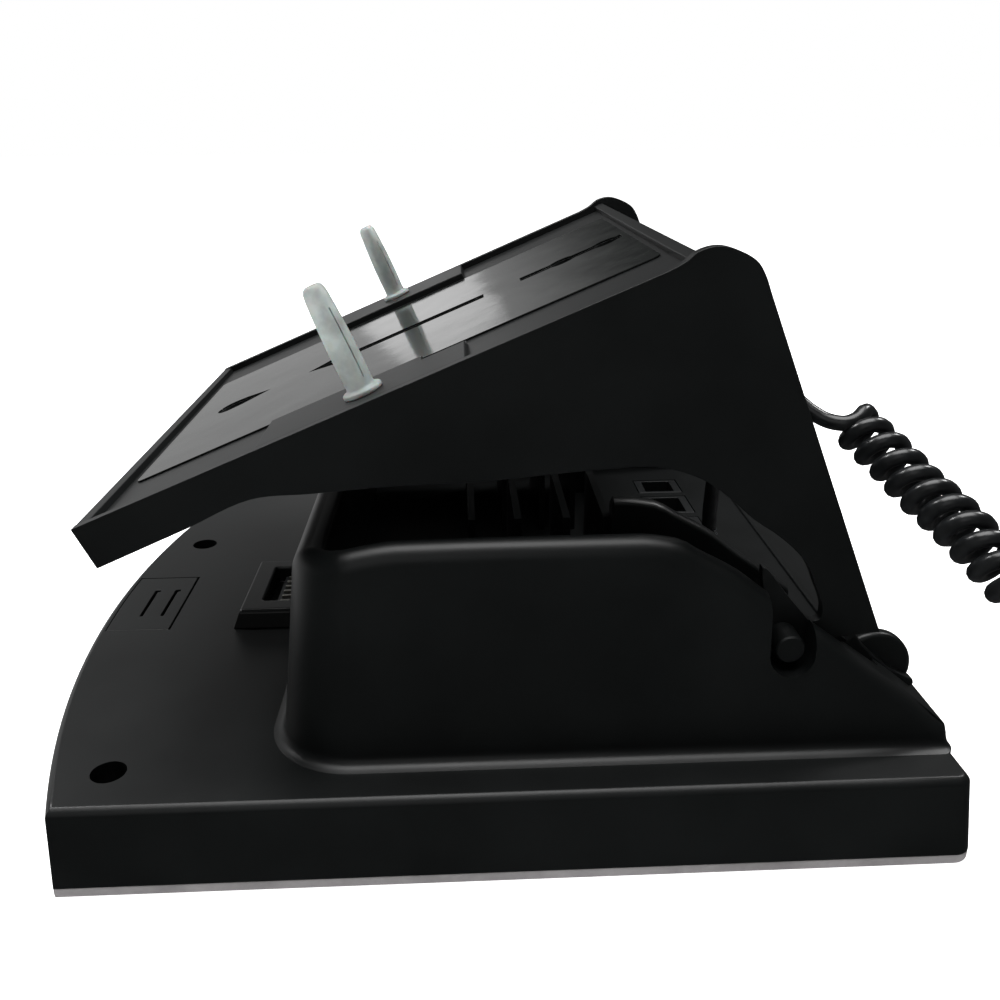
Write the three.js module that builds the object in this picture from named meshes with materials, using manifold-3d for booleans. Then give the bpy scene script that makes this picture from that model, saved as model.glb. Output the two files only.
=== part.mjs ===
// Corded desk telephone lying on its face, with its handset and curly cord beside it.
// Lengths are in millimetres. X runs from the foot of the telephone to its head,
// Y runs across it, away from the handset, and Z runs up from the table.

import * as THREE from 'three';
import { mergeVertices } from 'three/addons/utils/BufferGeometryUtils.js';
import Module from 'manifold-3d';

const wasm = await Module();
wasm.setup();

// Case
const caseLength = 231;
const caseWidth = 223.2;
const bowDepth = 19.2;
const caseCorner = 5;
const tightCorner = 0.4;
const bezelTop = 3;
const caseTop = 25;
const wallDraft = 1.4;
const caseEdge = 2;
const cavityInset = 3.4;
const cavityTop = 21.5;
const bezelInset = 5;
const slack = 0.3;
const closeGap = 0.05;

// Raised back of the case
const blockLeft = 0.2186 * caseLength;
const blockNear = 15;
const blockTop = 83.6;
const blockLeftDraft = 9.5;
const blockLean = 5;
const blockCorner = 20;
const blockCornerShrink = 4;
const blockFoot = 24;
const rimRounding = 3.6;
const filletReach = 3;
const filletHeight = 3.4;
const rim_shares = [
  [0.2511, 0.8612], [0.2619, 0.9091], [0.2792, 0.9402], [0.3009, 0.9569], [0.316, 0.9713], [0.3788, 0.9964],
  [0.6277, 1], [0.6701, 0.9844], [0.697, 0.9438], [0.7359, 0.8828], [0.7706, 0.8086], [0.8126, 0.7249],
  [0.8896, 0.5658], [0.9364, 0.4701], [0.9827, 0.3648], [0.9887, 0.3349],
];
const rimProfile = rim_shares.map(([along, up]) => [along * caseLength, up * blockTop]);

// Cable bay in the raised back
const bayNear = 25.5;
const bayLeft = 0.2944 * caseLength;
const bayFloor = 40;
const jackDeckLeft = 0.6623 * caseLength;
const jackDeck = 50;
const bayRight = 0.8658 * caseLength;
const baySlope = 4;
const bayChamfer = 5;
const aboveAll = 95;
const ridgeLeft = 0.619 * caseLength;
const ridgeRight = 0.8398 * caseLength;
const ridgeStep = 8.5;
const ridgeNear = 0.224 * caseWidth;
const ridgeThickness = 5;
const ridgeDrop = 1.2;
const ridgeRounding = 1.3;
const fin_shares = [0.4502, 0.5048, 0.5628, 0.6104];
const finPlaces = fin_shares.map((share) => share * caseLength);
const finThickness = 2;
const finNear = 0.233 * caseWidth;
const finLength = 40;
const finTop = 77;
const finFootReach = 11;
const finFootRise = 24;
const bossX = 0.4026 * caseLength;
const bossY = 0.2778 * caseWidth;
const bossRadius = 4.2;
const bossBore = 1.5;
const bossTop = 57;

// Hinge of the stand
const hingeX = 0.8121 * caseLength;
const hingeZ = 48.1;
const hingePinRadius = 5.2;
const hingeSeatRadius = 5.5;
const hingePinOuter = 18.4;
const hingePocketHalf = 10;
const hingePocketDepth = 10;
const hingePocketWidth = 8.5;
const lobeX = 0.9242 * caseLength;
const lobeZ = 38.5;
const lobeRadius = 10.3;
const lobeNear = 33;
const lobeWidth = 4;
const footSlotEnd = 0.9156 * caseLength;
const footSlotDepth = 3.2;
const footSlotMargin = 0.7;

// Stand
const standFootX = 0.0351 * caseLength;
const standFootZ = 87;
const standRise = 62;
const standRun = 0.6442 * caseLength;
const standNear = 27.3;
const standWall = 3;
const wall_outline_shares = [
  [0, -0], [0.002, 0.1096], [0.1645, 0.1058], [0.2839, 0.101], [0.3748, 0.1439], [0.5042, 0.2058],
  [0.6309, 0.2754], [0.814, 0.3602], [0.9043, 0.4116], [0.9613, 0.465], [1.0044, 0.546], [1.0323, 0.6518],
  [1.0456, 0.7432], [1.0363, 0.8385], [0.966, 0.9662], [0.9607, 1.0024], [0.9726, 1.0405], [0.9998, 1.0567],
  [1.027, 1.0405], [1.0549, 1.0081], [1.1013, 1.0234], [1.1464, 1.0405], [1.1544, 1.0453], [1.153, 0.5717],
  [1.1517, 0.1134], [1.1444, 0.0629], [1.1278, 0.0181], [1.1026, -0.0086], [1.0827, -0.0086], [1.0695, -0],
];
const deckSink = 2.2;
const deckThickness = 2.4;
const deck_end_share = 1.0615;
const lipThickness = 3;
const lipDepth = 11.3;
const railThickness = 3;
const railDepth = 10;
const pad_shares = [0.3251, 0.6900];
const padWidth = 23;
const filmThickness = 0.5;
const filmInset = 27.7;
const filmStart = 6;
const filmEndMargin = 2;
const filmCorner = 2;

// Openings through the stand's deck
const keyholeCentre = 0.5 * caseWidth;
const leaf_share = 0.1499;
const leafRadius = 4.8;
const leafLength = 13.4;
const arrow_share = 0.3317;
const arrowLength = 13;
const arrowHalf = 7.5;
const bar_end_share = 0.7298;
const barHalf = 2.8;
const long_slot_share = 0.8160;
const longLength = 33;
const longHalf = 2.6;
const longHeadSteps = [13.6, 28];
const longHeadRadius = 4.4;

// Wall plugs and their screws
const plug_share = 0.5108;
const plugInset = 8.6;
const plugFlangeRadius = 5.2;
const plugFlangeThickness = 1.5;
const plugRadius = 3.6;
const plugWaist = 2.9;
const plugHeight = 26;
const plugBore = 2.1;
const barb_shares = [[0.35, 0.38], [0.5, 0.54]];
const split_share = 0.64;
const tip_share = 0.94;
const screwRadius = 1.8;
const screwHeadRadius = 4;
const screwHeadDepth = 2.4;
const screwReach = 20;
const screwTip = 3;

// Access cover, screw wells and the port for an add on module
const coverInset = 4;
const coverRight = 6.4;
const coverNear = 0.4077 * caseWidth;
const coverWidth = 39.5;
const coverDepth = 1.8;
const coverLedge = 3;
const coverSlots = [-6, 0.9];
const coverSlotHalf = 0.9;
const coverSlotStart = 10;
const coverSlotLength = 19;
const nearWell = [11.4, 16.2];
const farWell = [1, 0.7186 * caseWidth];
const wellPlaces = [nearWell, farWell];
const wellRadius = 4.5;
const wellBossRadius = 6.3;
const wellFloor = 9;
const wellBore = 1.7;
const wellFoot = 5;
const caseScrewHead = 3.4;
const caseScrewShank = 1.5;
const caseScrewHeadHeight = 2.4;
const caseScrewSlot = 0.5;
const portLength = 19.8;
const portNear = 0.4032 * caseWidth;
const portWidth = 41;
const portTop = 31.2;
const portDraft = 2;
const portTopInset = 2.6;
const portGap = 0.7;
const portWindowStart = 6.5;
const portWindowLength = 11;
const portWindowInset = 8;
const portWindowWidth = 26;
const portWindowFloor = 25.6;
const contactHalf = 2.6;
const contactTop = 29.6;
const contactGroove = 0.7;
const contactPitch = 4;
const contactRow = 22;

// Front panel, display and boards
const panelFace = 1.2;
const panelTop = 5;
const panelFlangeInset = 4;
const cradleNear = 8;
const cradleFar = 66;
const displayGap = 10;
const displayLeft = 128;
const displayNear = cradleFar + displayGap;
const displayRightMargin = 21;
const displayFarMargin = 11.2;
const displayWindow = [displayLeft, caseLength - displayRightMargin, displayNear, caseWidth - displayFarMargin];
const displayLedge = 6;
const displayCorner = 3;
const windowThickness = 1.7;
const moduleTop = 8.9;
const matLeft = 23;
const matRight = 126;
const matGap = 14;
const matNear = cradleFar + matGap;
const matPlan = [matLeft, matRight, matNear, caseWidth - displayFarMargin];
const matBottom = 7.6;
const boardLeft = 13;
const boardGap = 5;
const boardNear = cradleFar + boardGap;
const boardRightMargin = 9;
const boardFarMargin = 6.2;
const boardPlan = [boardLeft, caseLength - boardRightMargin, boardNear, caseWidth - boardFarMargin];
const boardBottom = 9;
const boardTop = 10.6;
const pillarRadius = 3;
const pillarLeft = 18;
const pillarGap = 18;
const pillarNear = cradleFar + pillarGap;
const pillarRightMargin = 15;
const pillarFarMargin = 18.2;

// Keys
const keyFace = 0.9;
const keyCrown = 0.6;
const keyCrownInset = 1.2;
const keyFlange = 1;
const keyFlangeTop = 6.2;
const keyCorner = 2.2;
const dialKey = [11.5, 16.5];
const lowestRow = 31;
const rowPitch = 15;
const columnPitch = 21;
const dialNames = [
  ['dial_key_1', 'dial_key_2', 'dial_key_3'],
  ['dial_key_4', 'dial_key_5', 'dial_key_6'],
  ['dial_key_7', 'dial_key_8', 'dial_key_9'],
  ['dial_key_star', 'dial_key_0', 'dial_key_hash'],
];
const softKey = [7, 20];
const softKeyRow = 121;
const soft_key_shares = [0.4346, 0.578, 0.7213, 0.8647];
const sideKey = [10, 14];
const sideKeyColumn = 0.4346 * caseWidth;
const sideKeyNames = ['speaker_key', 'headset_key', 'mute_key'];
const navigationX = 103;
const navigationY = 0.6496 * caseWidth;
const navigationRadius = 10.5;
const navigationDish = 0.8;
const navigationDishRadius = 4.5;
const rockerX = 16;
const rockerY = 0.6496 * caseWidth;
const rockerLength = 32;
const rockerWidth = 8.4;
const rockerFace = 1;
const rockerTop = 6.4;
const rockerSlack = 0.5;
const rockerRod = 0.8;
const rockerRodHalf = 7;

// Handset cradle in the front
const cradlePlan = [0.0952 * caseLength, 0.9177 * caseLength, cradleNear, cradleFar];
const cradleCorner = 6;
const cradleFace = 1.4;
const cradleEarTop = 16;
const cradleMiddleTop = 8;
const cradleMouthTop = 12;
const cradleEarLeft = 0.6407 * caseLength;
const cradleMouthRight = 0.3203 * caseLength;
const cradleSlope = 3;
const cradleFlange = 2.2;
const cradleFlangeTop = 6.2;
const cradleWall = 3;
const wellInset = 4;
const speakerX = 0.4762 * caseLength;
const speakerY = (cradlePlan[2] + cradlePlan[3]) / 2;
const speakerRadius = 22;
const speakerConeRadius = 10;
const speakerTop = 20;
const speakerRimHeight = 3;
const speakerMagnetHeight = 8;
const speaker_steps = [-2, -1, 0, 1, 2];
const speakerSlotPitch = 6;
const speakerSlotHalf = 1;
const speakerSlotReach = 15;
const hookX = 0.7706 * caseLength;
const hookY = speakerY;
const hookHalfLength = 6;
const hookHalfWidth = 4;
const hookReach = 6.5;
const hookFlange = 2;
const hookTop = 17.4;
const hookCorner = 1.5;

// Sockets in the cable bay
const jackX = 0.7619 * caseLength;
const jackBottom = 36;
const wideJackHalf = 8;
const slimJackHalf = 6.5;
const jackWall = 1.4;
const jackFloor = 2;
const jackGap = 4.25;
const jacksMiddle = 0.4906 * caseWidth;
const jackSizes = [
  ['handset_jack', slimJackHalf],
  ['headset_jack', slimJackHalf],
  ['network_jack', wideJackHalf],
  ['computer_jack', wideJackHalf],
  ['power_jack', slimJackHalf],
];
const powerPinRadius = 1.1;
const powerPinTop = 47;

// Handset
const handsetLeft = -14;
const handsetLength = 200;
const handsetY = -108;
const handsetHalf = 23;
const handsetWaist = 3.5;
const handsetEndHeight = 24;
const handsetMiddleRise = 10;
const handsetArch = 15;
const handsetSeam = 19;
const handsetCorner = 6;
const handsetEndLift = 6;
const handsetEndDrop = 8;
const station_shares = [
  0, 0.012, 0.04, 0.08, 0.16, 0.24, 0.28, 0.32, 0.36, 0.43, 0.5,
  0.57, 0.64, 0.68, 0.72, 0.76, 0.84, 0.92, 0.96, 0.988, 1,
];
const end_share = 0.08;
const blunt_share = 0.35;
const cap_share = 0.24;
const grip_share = 0.36;
const capOffset = 28;
const grilleRadius = 13.7;
const grilleRecess = 1.6;
const grilleThickness = 1.1;
const grilleHoleRadius = 1.2;
const grilleRingRadius = 7;
const mouthGrilleRadius = 8;
const mouthRingRadius = 4;
const capsuleRadius = 13.5;
const capsuleFloor = 3;
const capsuleTop = 13;
const capsuleBackRadius = 8;
const microphoneRadius = 4.5;
const microphoneTop = 9;
const soundHole = 2;

// Handset socket and the two plugs
const socketInset = 20;
const socketLength = 15;
const socketLeft = handsetLeft + handsetLength - socketInset;
const socketRight = socketLeft + socketLength;
const socketHalf = 6;
const socketFloor = 5;
const socketTop = 15;
const socketWall = 1.3;
const plugHalfWide = 3.7;
const plugHalfHigh = 3.2;
const plugBlockLength = 14;
const bootLength = 12;
const bootRoot = 3.4;
const bootTip = 2.4;
const bootRings = 3;
const bootGroove = 0.5;
const handsetPlugInset = 5;
const handsetPlugLeft = socketLeft + handsetPlugInset;
const plugMiddle = 10;

// Curly cord
const wireDiameter = 4.1;
const curlRadius = 4.45;
const curlPitch = 6.5;
const cordJoint = 0.3;
const turn_steps = 8;
const wire_sides = 5;
const easing_turns = 0.9;
const leastOwnGap = 0.4;
const cordAxis = [
  [208.2, 60.6, 99.3], [213.6, 55.6, 97], [217.4, 47.5, 92.8], [220.4, 39, 88.6], [224.3, 27, 84.1],
  [228, 14, 79.2], [236.6, -11, 66.5], [246.5, -35, 47], [254.6, -55, 27.5], [259.8, -69, 15],
  [262.6, -81, 9], [261.6, -92, 7.4], [256.2, -102.2, 7.2], [247.4, -109, 7.2], [236.8, -111.2, 7.2],
  [226, -110.4, 7.2],
];
const phoneTail = [
  [176, 72, 72], [177.2, 71.5, 88], [181, 70.2, 102], [187, 68.2, 110.2], [192.6, 66.4, 111],
  [197, 65, 108.2], [200.5, 64, 103.8], [203.9, 62.9, 100.6],
];
const handsetTail = [[207.5, -108.2, 9.3], [214, -109, 7.9]];
const tailStep = 5;

// Colours
const finishes = {
  blackShell: { color: 0x17191b, roughness: 0.42, metalness: 0 },
  blackFilm: { color: 0x0b0c0d, roughness: 0.08, metalness: 0 },
  silverTrim: { color: 0xa9a7a8, roughness: 0.35, metalness: 0.2 },
  nylon: { color: 0xc9cfca, roughness: 0.4, metalness: 0 },
  steel: { color: 0x8f9294, roughness: 0.35, metalness: 0.9 },
  keyPlastic: { color: 0x24272a, roughness: 0.5, metalness: 0 },
  rubber: { color: 0x33363a, roughness: 0.8, metalness: 0 },
  board: { color: 0x1f5a36, roughness: 0.6, metalness: 0 },
  glass: { color: 0x1a2026, roughness: 0.05, metalness: 0 },
  socket: { color: 0x101112, roughness: 0.5, metalness: 0 },
  gold: { color: 0xc8a24a, roughness: 0.3, metalness: 0.9 },
  plugClear: { color: 0x9fa5a8, roughness: 0.2, metalness: 0 },
  cordSheath: { color: 0x0d0e0f, roughness: 0.22, metalness: 0 },
};

// Outlines, as lists of points that run counterclockwise

function arc(centreX, centreY, radius, from, to, steps) {
  return Array.from({ length: steps + 1 }, (_, i) => {
    const angle = from + ((to - from) * i) / steps;
    return [centreX + radius * Math.cos(angle), centreY + radius * Math.sin(angle)];
  });
}

function disc(centreX, centreY, radius, sides = 20) {
  return arc(centreX, centreY, radius, 0, 2 * Math.PI, sides).slice(0, sides);
}

function rectangle(x0, x1, y0, y1) {
  return [[x0, y0], [x1, y0], [x1, y1], [x0, y1]];
}

function roundedRectangle(x0, x1, y0, y1, radius, steps = 3) {
  const quarter = Math.PI / 2;
  return [
    ...arc(x0 + radius, y0 + radius, radius, 2 * quarter, 3 * quarter, steps),
    ...arc(x1 - radius, y0 + radius, radius, 3 * quarter, 4 * quarter, steps),
    ...arc(x1 - radius, y1 - radius, radius, 0, quarter, steps),
    ...arc(x0 + radius, y1 - radius, radius, quarter, 2 * quarter, steps),
  ];
}

const bowRadius = (bowDepth ** 2 + (caseWidth / 2) ** 2) / (2 * bowDepth);
const bowCentre = bowRadius - bowDepth;

function bowX(y, inset) {
  return bowCentre - Math.sqrt((bowRadius - inset) ** 2 - (y - caseWidth / 2) ** 2);
}

function bowArc(fromY, toY, inset, steps) {
  return Array.from({ length: steps + 1 }, (_, i) => {
    const y = fromY + ((toY - fromY) * i) / steps;
    return [bowX(y, inset), y];
  });
}

function caseOutline(inset) {
  const corner = Math.max(caseCorner - inset, tightCorner);
  const right = caseLength - inset - corner;
  const quarter = Math.PI / 2;
  return [
    ...arc(right, inset + corner, corner, -quarter, 0, 4),
    ...arc(right, caseWidth - inset - corner, corner, 0, quarter, 4),
    ...bowArc(caseWidth - inset, inset, inset, 14),
  ];
}

// Solids, stacked from outlines along Z, X or Y

function stack(rings) {
  const count = rings[0].points.length;
  const positions = rings.flatMap(({ at, points }) => points.flatMap(([x, y]) => [x, y, at]));
  const indices = [];
  for (let ring = 0; ring < rings.length - 1; ring++) {
    for (let i = 0; i < count; i++) {
      const a = ring * count + i;
      const b = ring * count + ((i + 1) % count);
      indices.push(a, b, b + count, a, b + count, a + count);
    }
  }
  const cap = (points) => THREE.ShapeUtils.triangulateShape(points.map((p) => new THREE.Vector2(...p)), []);
  const top = (rings.length - 1) * count;
  cap(rings[0].points).forEach(([a, b, c]) => indices.push(a, c, b));
  cap(rings.at(-1).points).forEach(([a, b, c]) => indices.push(top + a, top + b, top + c));
  const geometry = new THREE.BufferGeometry();
  geometry.setAttribute('position', new THREE.Float32BufferAttribute(positions, 3));
  geometry.setIndex(indices);
  return geometry;
}

const alongXBasis = new THREE.Matrix4().makeBasis(
  new THREE.Vector3(0, 1, 0),
  new THREE.Vector3(0, 0, 1),
  new THREE.Vector3(1, 0, 0),
);

function stackAlongX(rings) {
  return stack(rings).applyMatrix4(alongXBasis);
}

function stackAcross(rings) {
  const turned = rings.map(({ at, points }) => ({ at: -at, points })).reverse();
  return stack(turned).rotateX(Math.PI / 2);
}

function prism(points, from, to) {
  return stack([{ at: from, points }, { at: to, points }]);
}

function prismAlongX(points, from, to) {
  return stackAlongX([{ at: from, points }, { at: to, points }]);
}

function prismAcross(points, from, to) {
  return stackAcross([{ at: from, points }, { at: to, points }]);
}

function turned(profile, sides = 20) {
  const points = profile.map(([radius, z]) => new THREE.Vector2(radius, z));
  return new THREE.LatheGeometry(points, sides).rotateX(Math.PI / 2);
}

// Booleans

function toSolid(geometry) {
  const plain = geometry.clone();
  plain.deleteAttribute('normal');
  plain.deleteAttribute('uv');
  const merged = mergeVertices(plain);
  return new wasm.Manifold(new wasm.Mesh({
    numProp: 3,
    vertProperties: Float32Array.from(merged.attributes.position.array),
    triVerts: Uint32Array.from(merged.index.array),
  }));
}

function toGeometry(solid) {
  const mesh = solid.getMesh();
  const geometry = new THREE.BufferGeometry();
  geometry.setAttribute('position', new THREE.Float32BufferAttribute(mesh.vertProperties, 3));
  geometry.setIndex(Array.from(mesh.triVerts));
  return geometry;
}

function joined(first, ...others) {
  return toGeometry(others.reduce((solid, other) => solid.add(toSolid(other)), toSolid(first)));
}

function cut(first, ...tools) {
  return toGeometry(tools.reduce((solid, tool) => solid.subtract(toSolid(tool)), toSolid(first)));
}

function common(first, second) {
  return toGeometry(toSolid(first).intersect(toSolid(second)));
}

function mirroredAcross(geometry) {
  const flipped = geometry.clone().applyMatrix4(new THREE.Matrix4().makeScale(1, -1, 1));
  flipped.translate(0, caseWidth, 0);
  const index = Array.from(flipped.index.array);
  for (let i = 0; i < index.length; i += 3) {
    [index[i], index[i + 1]] = [index[i + 1], index[i]];
  }
  flipped.setIndex(index);
  return flipped;
}

function bothSides(geometry) {
  return [geometry, mirroredAcross(geometry)];
}

// The scene

const telephone = new THREE.Group();
const handset = new THREE.Group();
const stand = new THREE.Group();
telephone.add(handset, stand);

function addPiece(name, geometry, finish, group = telephone) {
  const shown = geometry.index ? geometry.toNonIndexed() : geometry;
  shown.computeVertexNormals();
  const mesh = new THREE.Mesh(shown, new THREE.MeshStandardMaterial(finishes[finish]));
  mesh.name = name;
  group.add(mesh);
  return mesh;
}

// Raised back, made from its side profile and its plan

function rimHeight(x) {
  const next = rimProfile.findIndex(([pointX]) => pointX >= x);
  const [x0, z0] = rimProfile[next - 1];
  const [x1, z1] = rimProfile[next];
  return z0 + ((z1 - z0) * (x - x0)) / (x1 - x0);
}

function profileRing(drop) {
  const rim = rimProfile.map(([x, z]) => [x, Math.max(z - drop, blockFoot + closeGap)]).reverse();
  return [[blockLeft - filletReach, blockFoot], [caseLength - caseEdge, blockFoot], ...rim,
    [blockLeft - filletReach, rimProfile[0][1] - drop]];
}

function leaned(geometry) {
  const position = geometry.attributes.position;
  for (let i = 0; i < position.count; i++) {
    const lean = (blockLean * (position.getZ(i) - caseTop)) / (blockTop - caseTop);
    const y = position.getY(i);
    position.setY(i, y < caseWidth / 2 ? y + lean : y - lean);
  }
  return geometry;
}

function blockPlan(share, spread = 0) {
  const left = blockLeft + blockLeftDraft * share - spread;
  const near = blockNear + blockLean * share - spread;
  const radius = blockCorner - blockCornerShrink * share;
  return roundedRectangle(left, caseLength + blockCorner, near, caseWidth - near, radius, 6);
}

function filletPlan(spread) {
  return blockPlan(0, spread).map(([x, y]) => [Math.min(x, caseLength - caseCorner), y]);
}

function raisedBack() {
  const rounding_shares = [0, 0.28, 1];
  const stations = rounding_shares.map((share) => ({
    depth: share * rimRounding,
    drop: rimRounding * (1 - Math.sqrt(1 - (1 - share) ** 2)),
  }));
  const near = stations.map(({ depth, drop }) => ({ at: blockNear + depth, points: profileRing(drop) }));
  const far = near.map(({ at, points }) => ({ at: caseWidth - at, points })).reverse();
  const profile = leaned(stackAcross([...near, ...far]));
  const plan = stack([
    { at: blockFoot, points: blockPlan(0) },
    { at: blockTop + slack, points: blockPlan(1) },
  ]);
  const fillet_shares = [0, 0.12, 0.4, 1];
  const fillet = stack(fillet_shares.map((share) => ({
    at: share === 0 ? blockFoot : caseTop + filletHeight * share,
    points: filletPlan(filletReach * (1 - share) ** 2),
  })));
  return joined(common(profile, plan), fillet);
}

// Cable bay with its ridges, fins and boss

function bayVoid() {
  const outline = [
    [bayLeft + bayChamfer, bayFloor], [jackDeckLeft - cradleSlope, bayFloor],
    [jackDeckLeft, bayFloor + cradleSlope], [jackDeckLeft, jackDeck], [bayRight, jackDeck],
    [bayRight + baySlope, aboveAll], [bayLeft - slack, aboveAll], [bayLeft, bayFloor + bayChamfer],
  ];
  return prismAcross(outline, bayNear, caseWidth - bayNear);
}

function ridge() {
  const ringAt = (y, drop) => {
    const top = [];
    for (let x = ridgeRight; x > ridgeLeft; x -= ridgeStep) {
      top.push([x, rimHeight(x) - ridgeDrop - drop]);
    }
    const left = [ridgeLeft, rimHeight(ridgeLeft) - ridgeDrop - drop - ridgeRounding];
    const foot = bayFloor - closeGap;
    return { at: y, points: [[ridgeLeft, foot], [ridgeRight, foot], ...top, left] };
  };
  const far = ridgeNear + ridgeThickness;
  return stackAcross([
    ringAt(ridgeNear, ridgeRounding), ringAt(ridgeNear + ridgeRounding, 0),
    ringAt(far - ridgeRounding, 0), ringAt(far, ridgeRounding),
  ]);
}

function fin(x) {
  const foot = arc(finNear - finFootReach, bayFloor + finFootRise, finFootReach, -Math.PI / 2, 0, 4)
    .map(([y, z]) => [y, bayFloor + ((z - bayFloor - finFootRise + finFootReach) * finFootRise) / finFootReach]);
  const far = finNear + finLength;
  const outline = [
    [far, bayFloor - closeGap], [far, finTop], [finNear, finTop], ...foot.reverse(),
    [finNear - finFootReach, bayFloor - closeGap],
  ];
  return prismAlongX(outline, x, x + finThickness);
}

function hingeSeat() {
  const radius = hingeSeatRadius;
  const outline = [
    ...arc(hingeX, hingeZ, radius, Math.PI, 2 * Math.PI, 12),
    [hingeX + radius, aboveAll], [hingeX - radius, aboveAll],
  ];
  return prismAcross(outline, 0, bayNear + closeGap);
}

function hingePocket() {
  const half = hingePocketHalf;
  const outline = rectangle(hingeX - half, hingeX + half, hingeZ - hingePocketDepth, jackDeck + slack);
  return prismAcross(outline, bayNear, bayNear + hingePocketWidth);
}

function footSlot() {
  const from = hingeX + hingePocketHalf - closeGap;
  const end = rimHeight(footSlotEnd);
  const outline = [
    [from, hingeZ - footSlotDepth / 2], [footSlotEnd - footSlotDepth / 2, end - footSlotDepth / 2],
    [footSlotEnd, end + slack], [footSlotEnd, aboveAll], [from, aboveAll],
  ];
  return prismAcross(outline, standNear - footSlotMargin, standNear + standWall + footSlotMargin);
}

// Rear housing

function coverOutline(clearance) {
  const near = coverNear + clearance;
  const far = coverNear + coverWidth - clearance;
  const right = coverRight - clearance;
  return [[right, near], [right, far], ...bowArc(far, near, coverInset + clearance, 5)];
}

function drilled(centre, radius, from, to, sides = 20) {
  return prism(disc(centre[0], centre[1], radius, sides), from, to);
}

const jackRow = jackSizes.reduce((total, [, half]) => total + 2 * half + jackGap, -jackGap);
const jacks = [];
jackSizes.reduce((near, [name, half]) => {
  jacks.push({ name, half, y: near + half });
  return near + 2 * half + jackGap;
}, jacksMiddle - jackRow / 2);

function rearHousing() {
  const topInset = wallDraft - closeGap;
  const slab = stack([
    { at: bezelTop, points: caseOutline(0) },
    { at: caseTop - caseEdge, points: caseOutline(topInset) },
    { at: caseTop - caseEdge * 0.3, points: caseOutline(topInset + caseEdge * 0.3) },
    { at: caseTop, points: caseOutline(topInset + caseEdge) },
  ]);
  const seats = bothSides(hingeSeat());
  const pockets = [...bothSides(hingePocket()), ...bothSides(footSlot())];
  const cavity = prism(caseOutline(cavityInset), 0, cavityTop);
  const ridges = bothSides(ridge());
  const fins = finPlaces.flatMap((x) => bothSides(fin(x)));
  const lobe = prismAcross(disc(lobeX, lobeZ, lobeRadius, 24), lobeNear, lobeNear + lobeWidth);
  const boss = drilled([bossX, bossY], bossRadius, bayFloor - closeGap, bossTop, 16);
  const bossHole = drilled([bossX, bossY], bossBore, bayFloor + bayChamfer, aboveAll, 12);
  const pillarXs = [pillarLeft, caseLength - pillarRightMargin];
  const pillarYs = [pillarNear, caseWidth - pillarFarMargin];
  const pillarPlaces = pillarXs.flatMap((x) => pillarYs.map((y) => [x, y]));
  const pillars = pillarPlaces.map((place) => drilled(place, pillarRadius, boardTop, cavityTop + closeGap, 12));
  const wellBosses = wellPlaces.map((place) => drilled(place, wellBossRadius, wellFoot, cavityTop + closeGap));
  const wells = wellPlaces.map((place) => drilled(place, wellRadius, wellFloor, aboveAll));
  const bores = wellPlaces.map((place) => drilled(place, wellBore, 0, wellFloor + closeGap, 12));
  const jackPockets = jacks.map(({ y, half }) => prism(
    rectangle(jackX - wideJackHalf - slack, jackX + wideJackHalf + slack, y - half - slack, y + half + slack),
    jackBottom,
    aboveAll,
  ));
  const coverPocket = prism(coverOutline(0), caseTop - coverDepth, aboveAll);
  const coverHole = prism(coverOutline(coverLedge), 0, aboveAll);
  const solid = joined(slab, raisedBack());
  const shell = cut(solid, bayVoid(), cavity, ...pockets, ...jackPockets, coverPocket, coverHole);
  const furnished = joined(shell, ...ridges, ...fins, ...bothSides(lobe), boss, ...pillars, ...wellBosses);
  return cut(furnished, ...seats, bossHole, ...wells, ...bores);
}

addPiece('rear_housing', rearHousing(), 'blackShell');

function screwProfile(headRadius, headHeight, shankRadius, tip, bottom, top) {
  return [
    [0, bottom], [shankRadius - tip, bottom], [shankRadius, bottom + tip], [shankRadius, top - headHeight],
    [headRadius, top - headHeight], [headRadius, top - headHeight / 3], [headRadius * 0.6, top], [0, top],
  ];
}

function caseScrew() {
  const top = wellFloor + caseScrewHeadHeight;
  const profile = screwProfile(caseScrewHead, caseScrewHeadHeight, caseScrewShank, caseScrewSlot, wellFoot, top);
  const long = caseScrewHead * 0.6;
  const slots = [[long, caseScrewSlot], [caseScrewSlot, long]].map(([x, y]) => (
    prism(rectangle(-x, x, -y, y), top - caseScrewHeadHeight / 2, top + caseScrewHead)
  ));
  return cut(turned(profile, 16), ...slots);
}

['housing_screw_near', 'housing_screw_far'].forEach((name, i) => {
  addPiece(name, caseScrew(), 'steel').position.set(...wellPlaces[i], 0);
});

function accessCover() {
  const near = coverNear + coverSlotStart;
  const slots = coverSlots.map((x) => (
    prism(rectangle(x - coverSlotHalf, x + coverSlotHalf, near, near + coverSlotLength), 0, aboveAll)
  ));
  return cut(prism(coverOutline(slack), caseTop - coverDepth, caseTop), ...slots);
}
addPiece('access_cover', accessCover(), 'blackShell');

// Port for an add on module

const portRight = blockLeft - filletReach - portGap;
const portLeft = portRight - portLength;
const portFar = portNear + portWidth;
const portWindow = [
  portLeft + portWindowStart, portLeft + portWindowStart + portWindowLength,
  portNear + portWindowInset, portNear + portWindowInset + portWindowWidth,
];

function modulePort() {
  const plan = (inset, sides) => rectangle(portLeft + inset, portRight, portNear + sides, portFar - sides);
  const body = stack([
    { at: caseTop, points: plan(0, 0) },
    { at: portTop - portDraft / 2, points: plan(portDraft, portDraft / 2) },
    { at: portTop, points: plan(portTopInset, portDraft) },
  ]);
  return cut(body, prism(rectangle(...portWindow), portWindowFloor, aboveAll));
}
addPiece('module_port_housing', modulePort(), 'blackShell');

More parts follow.
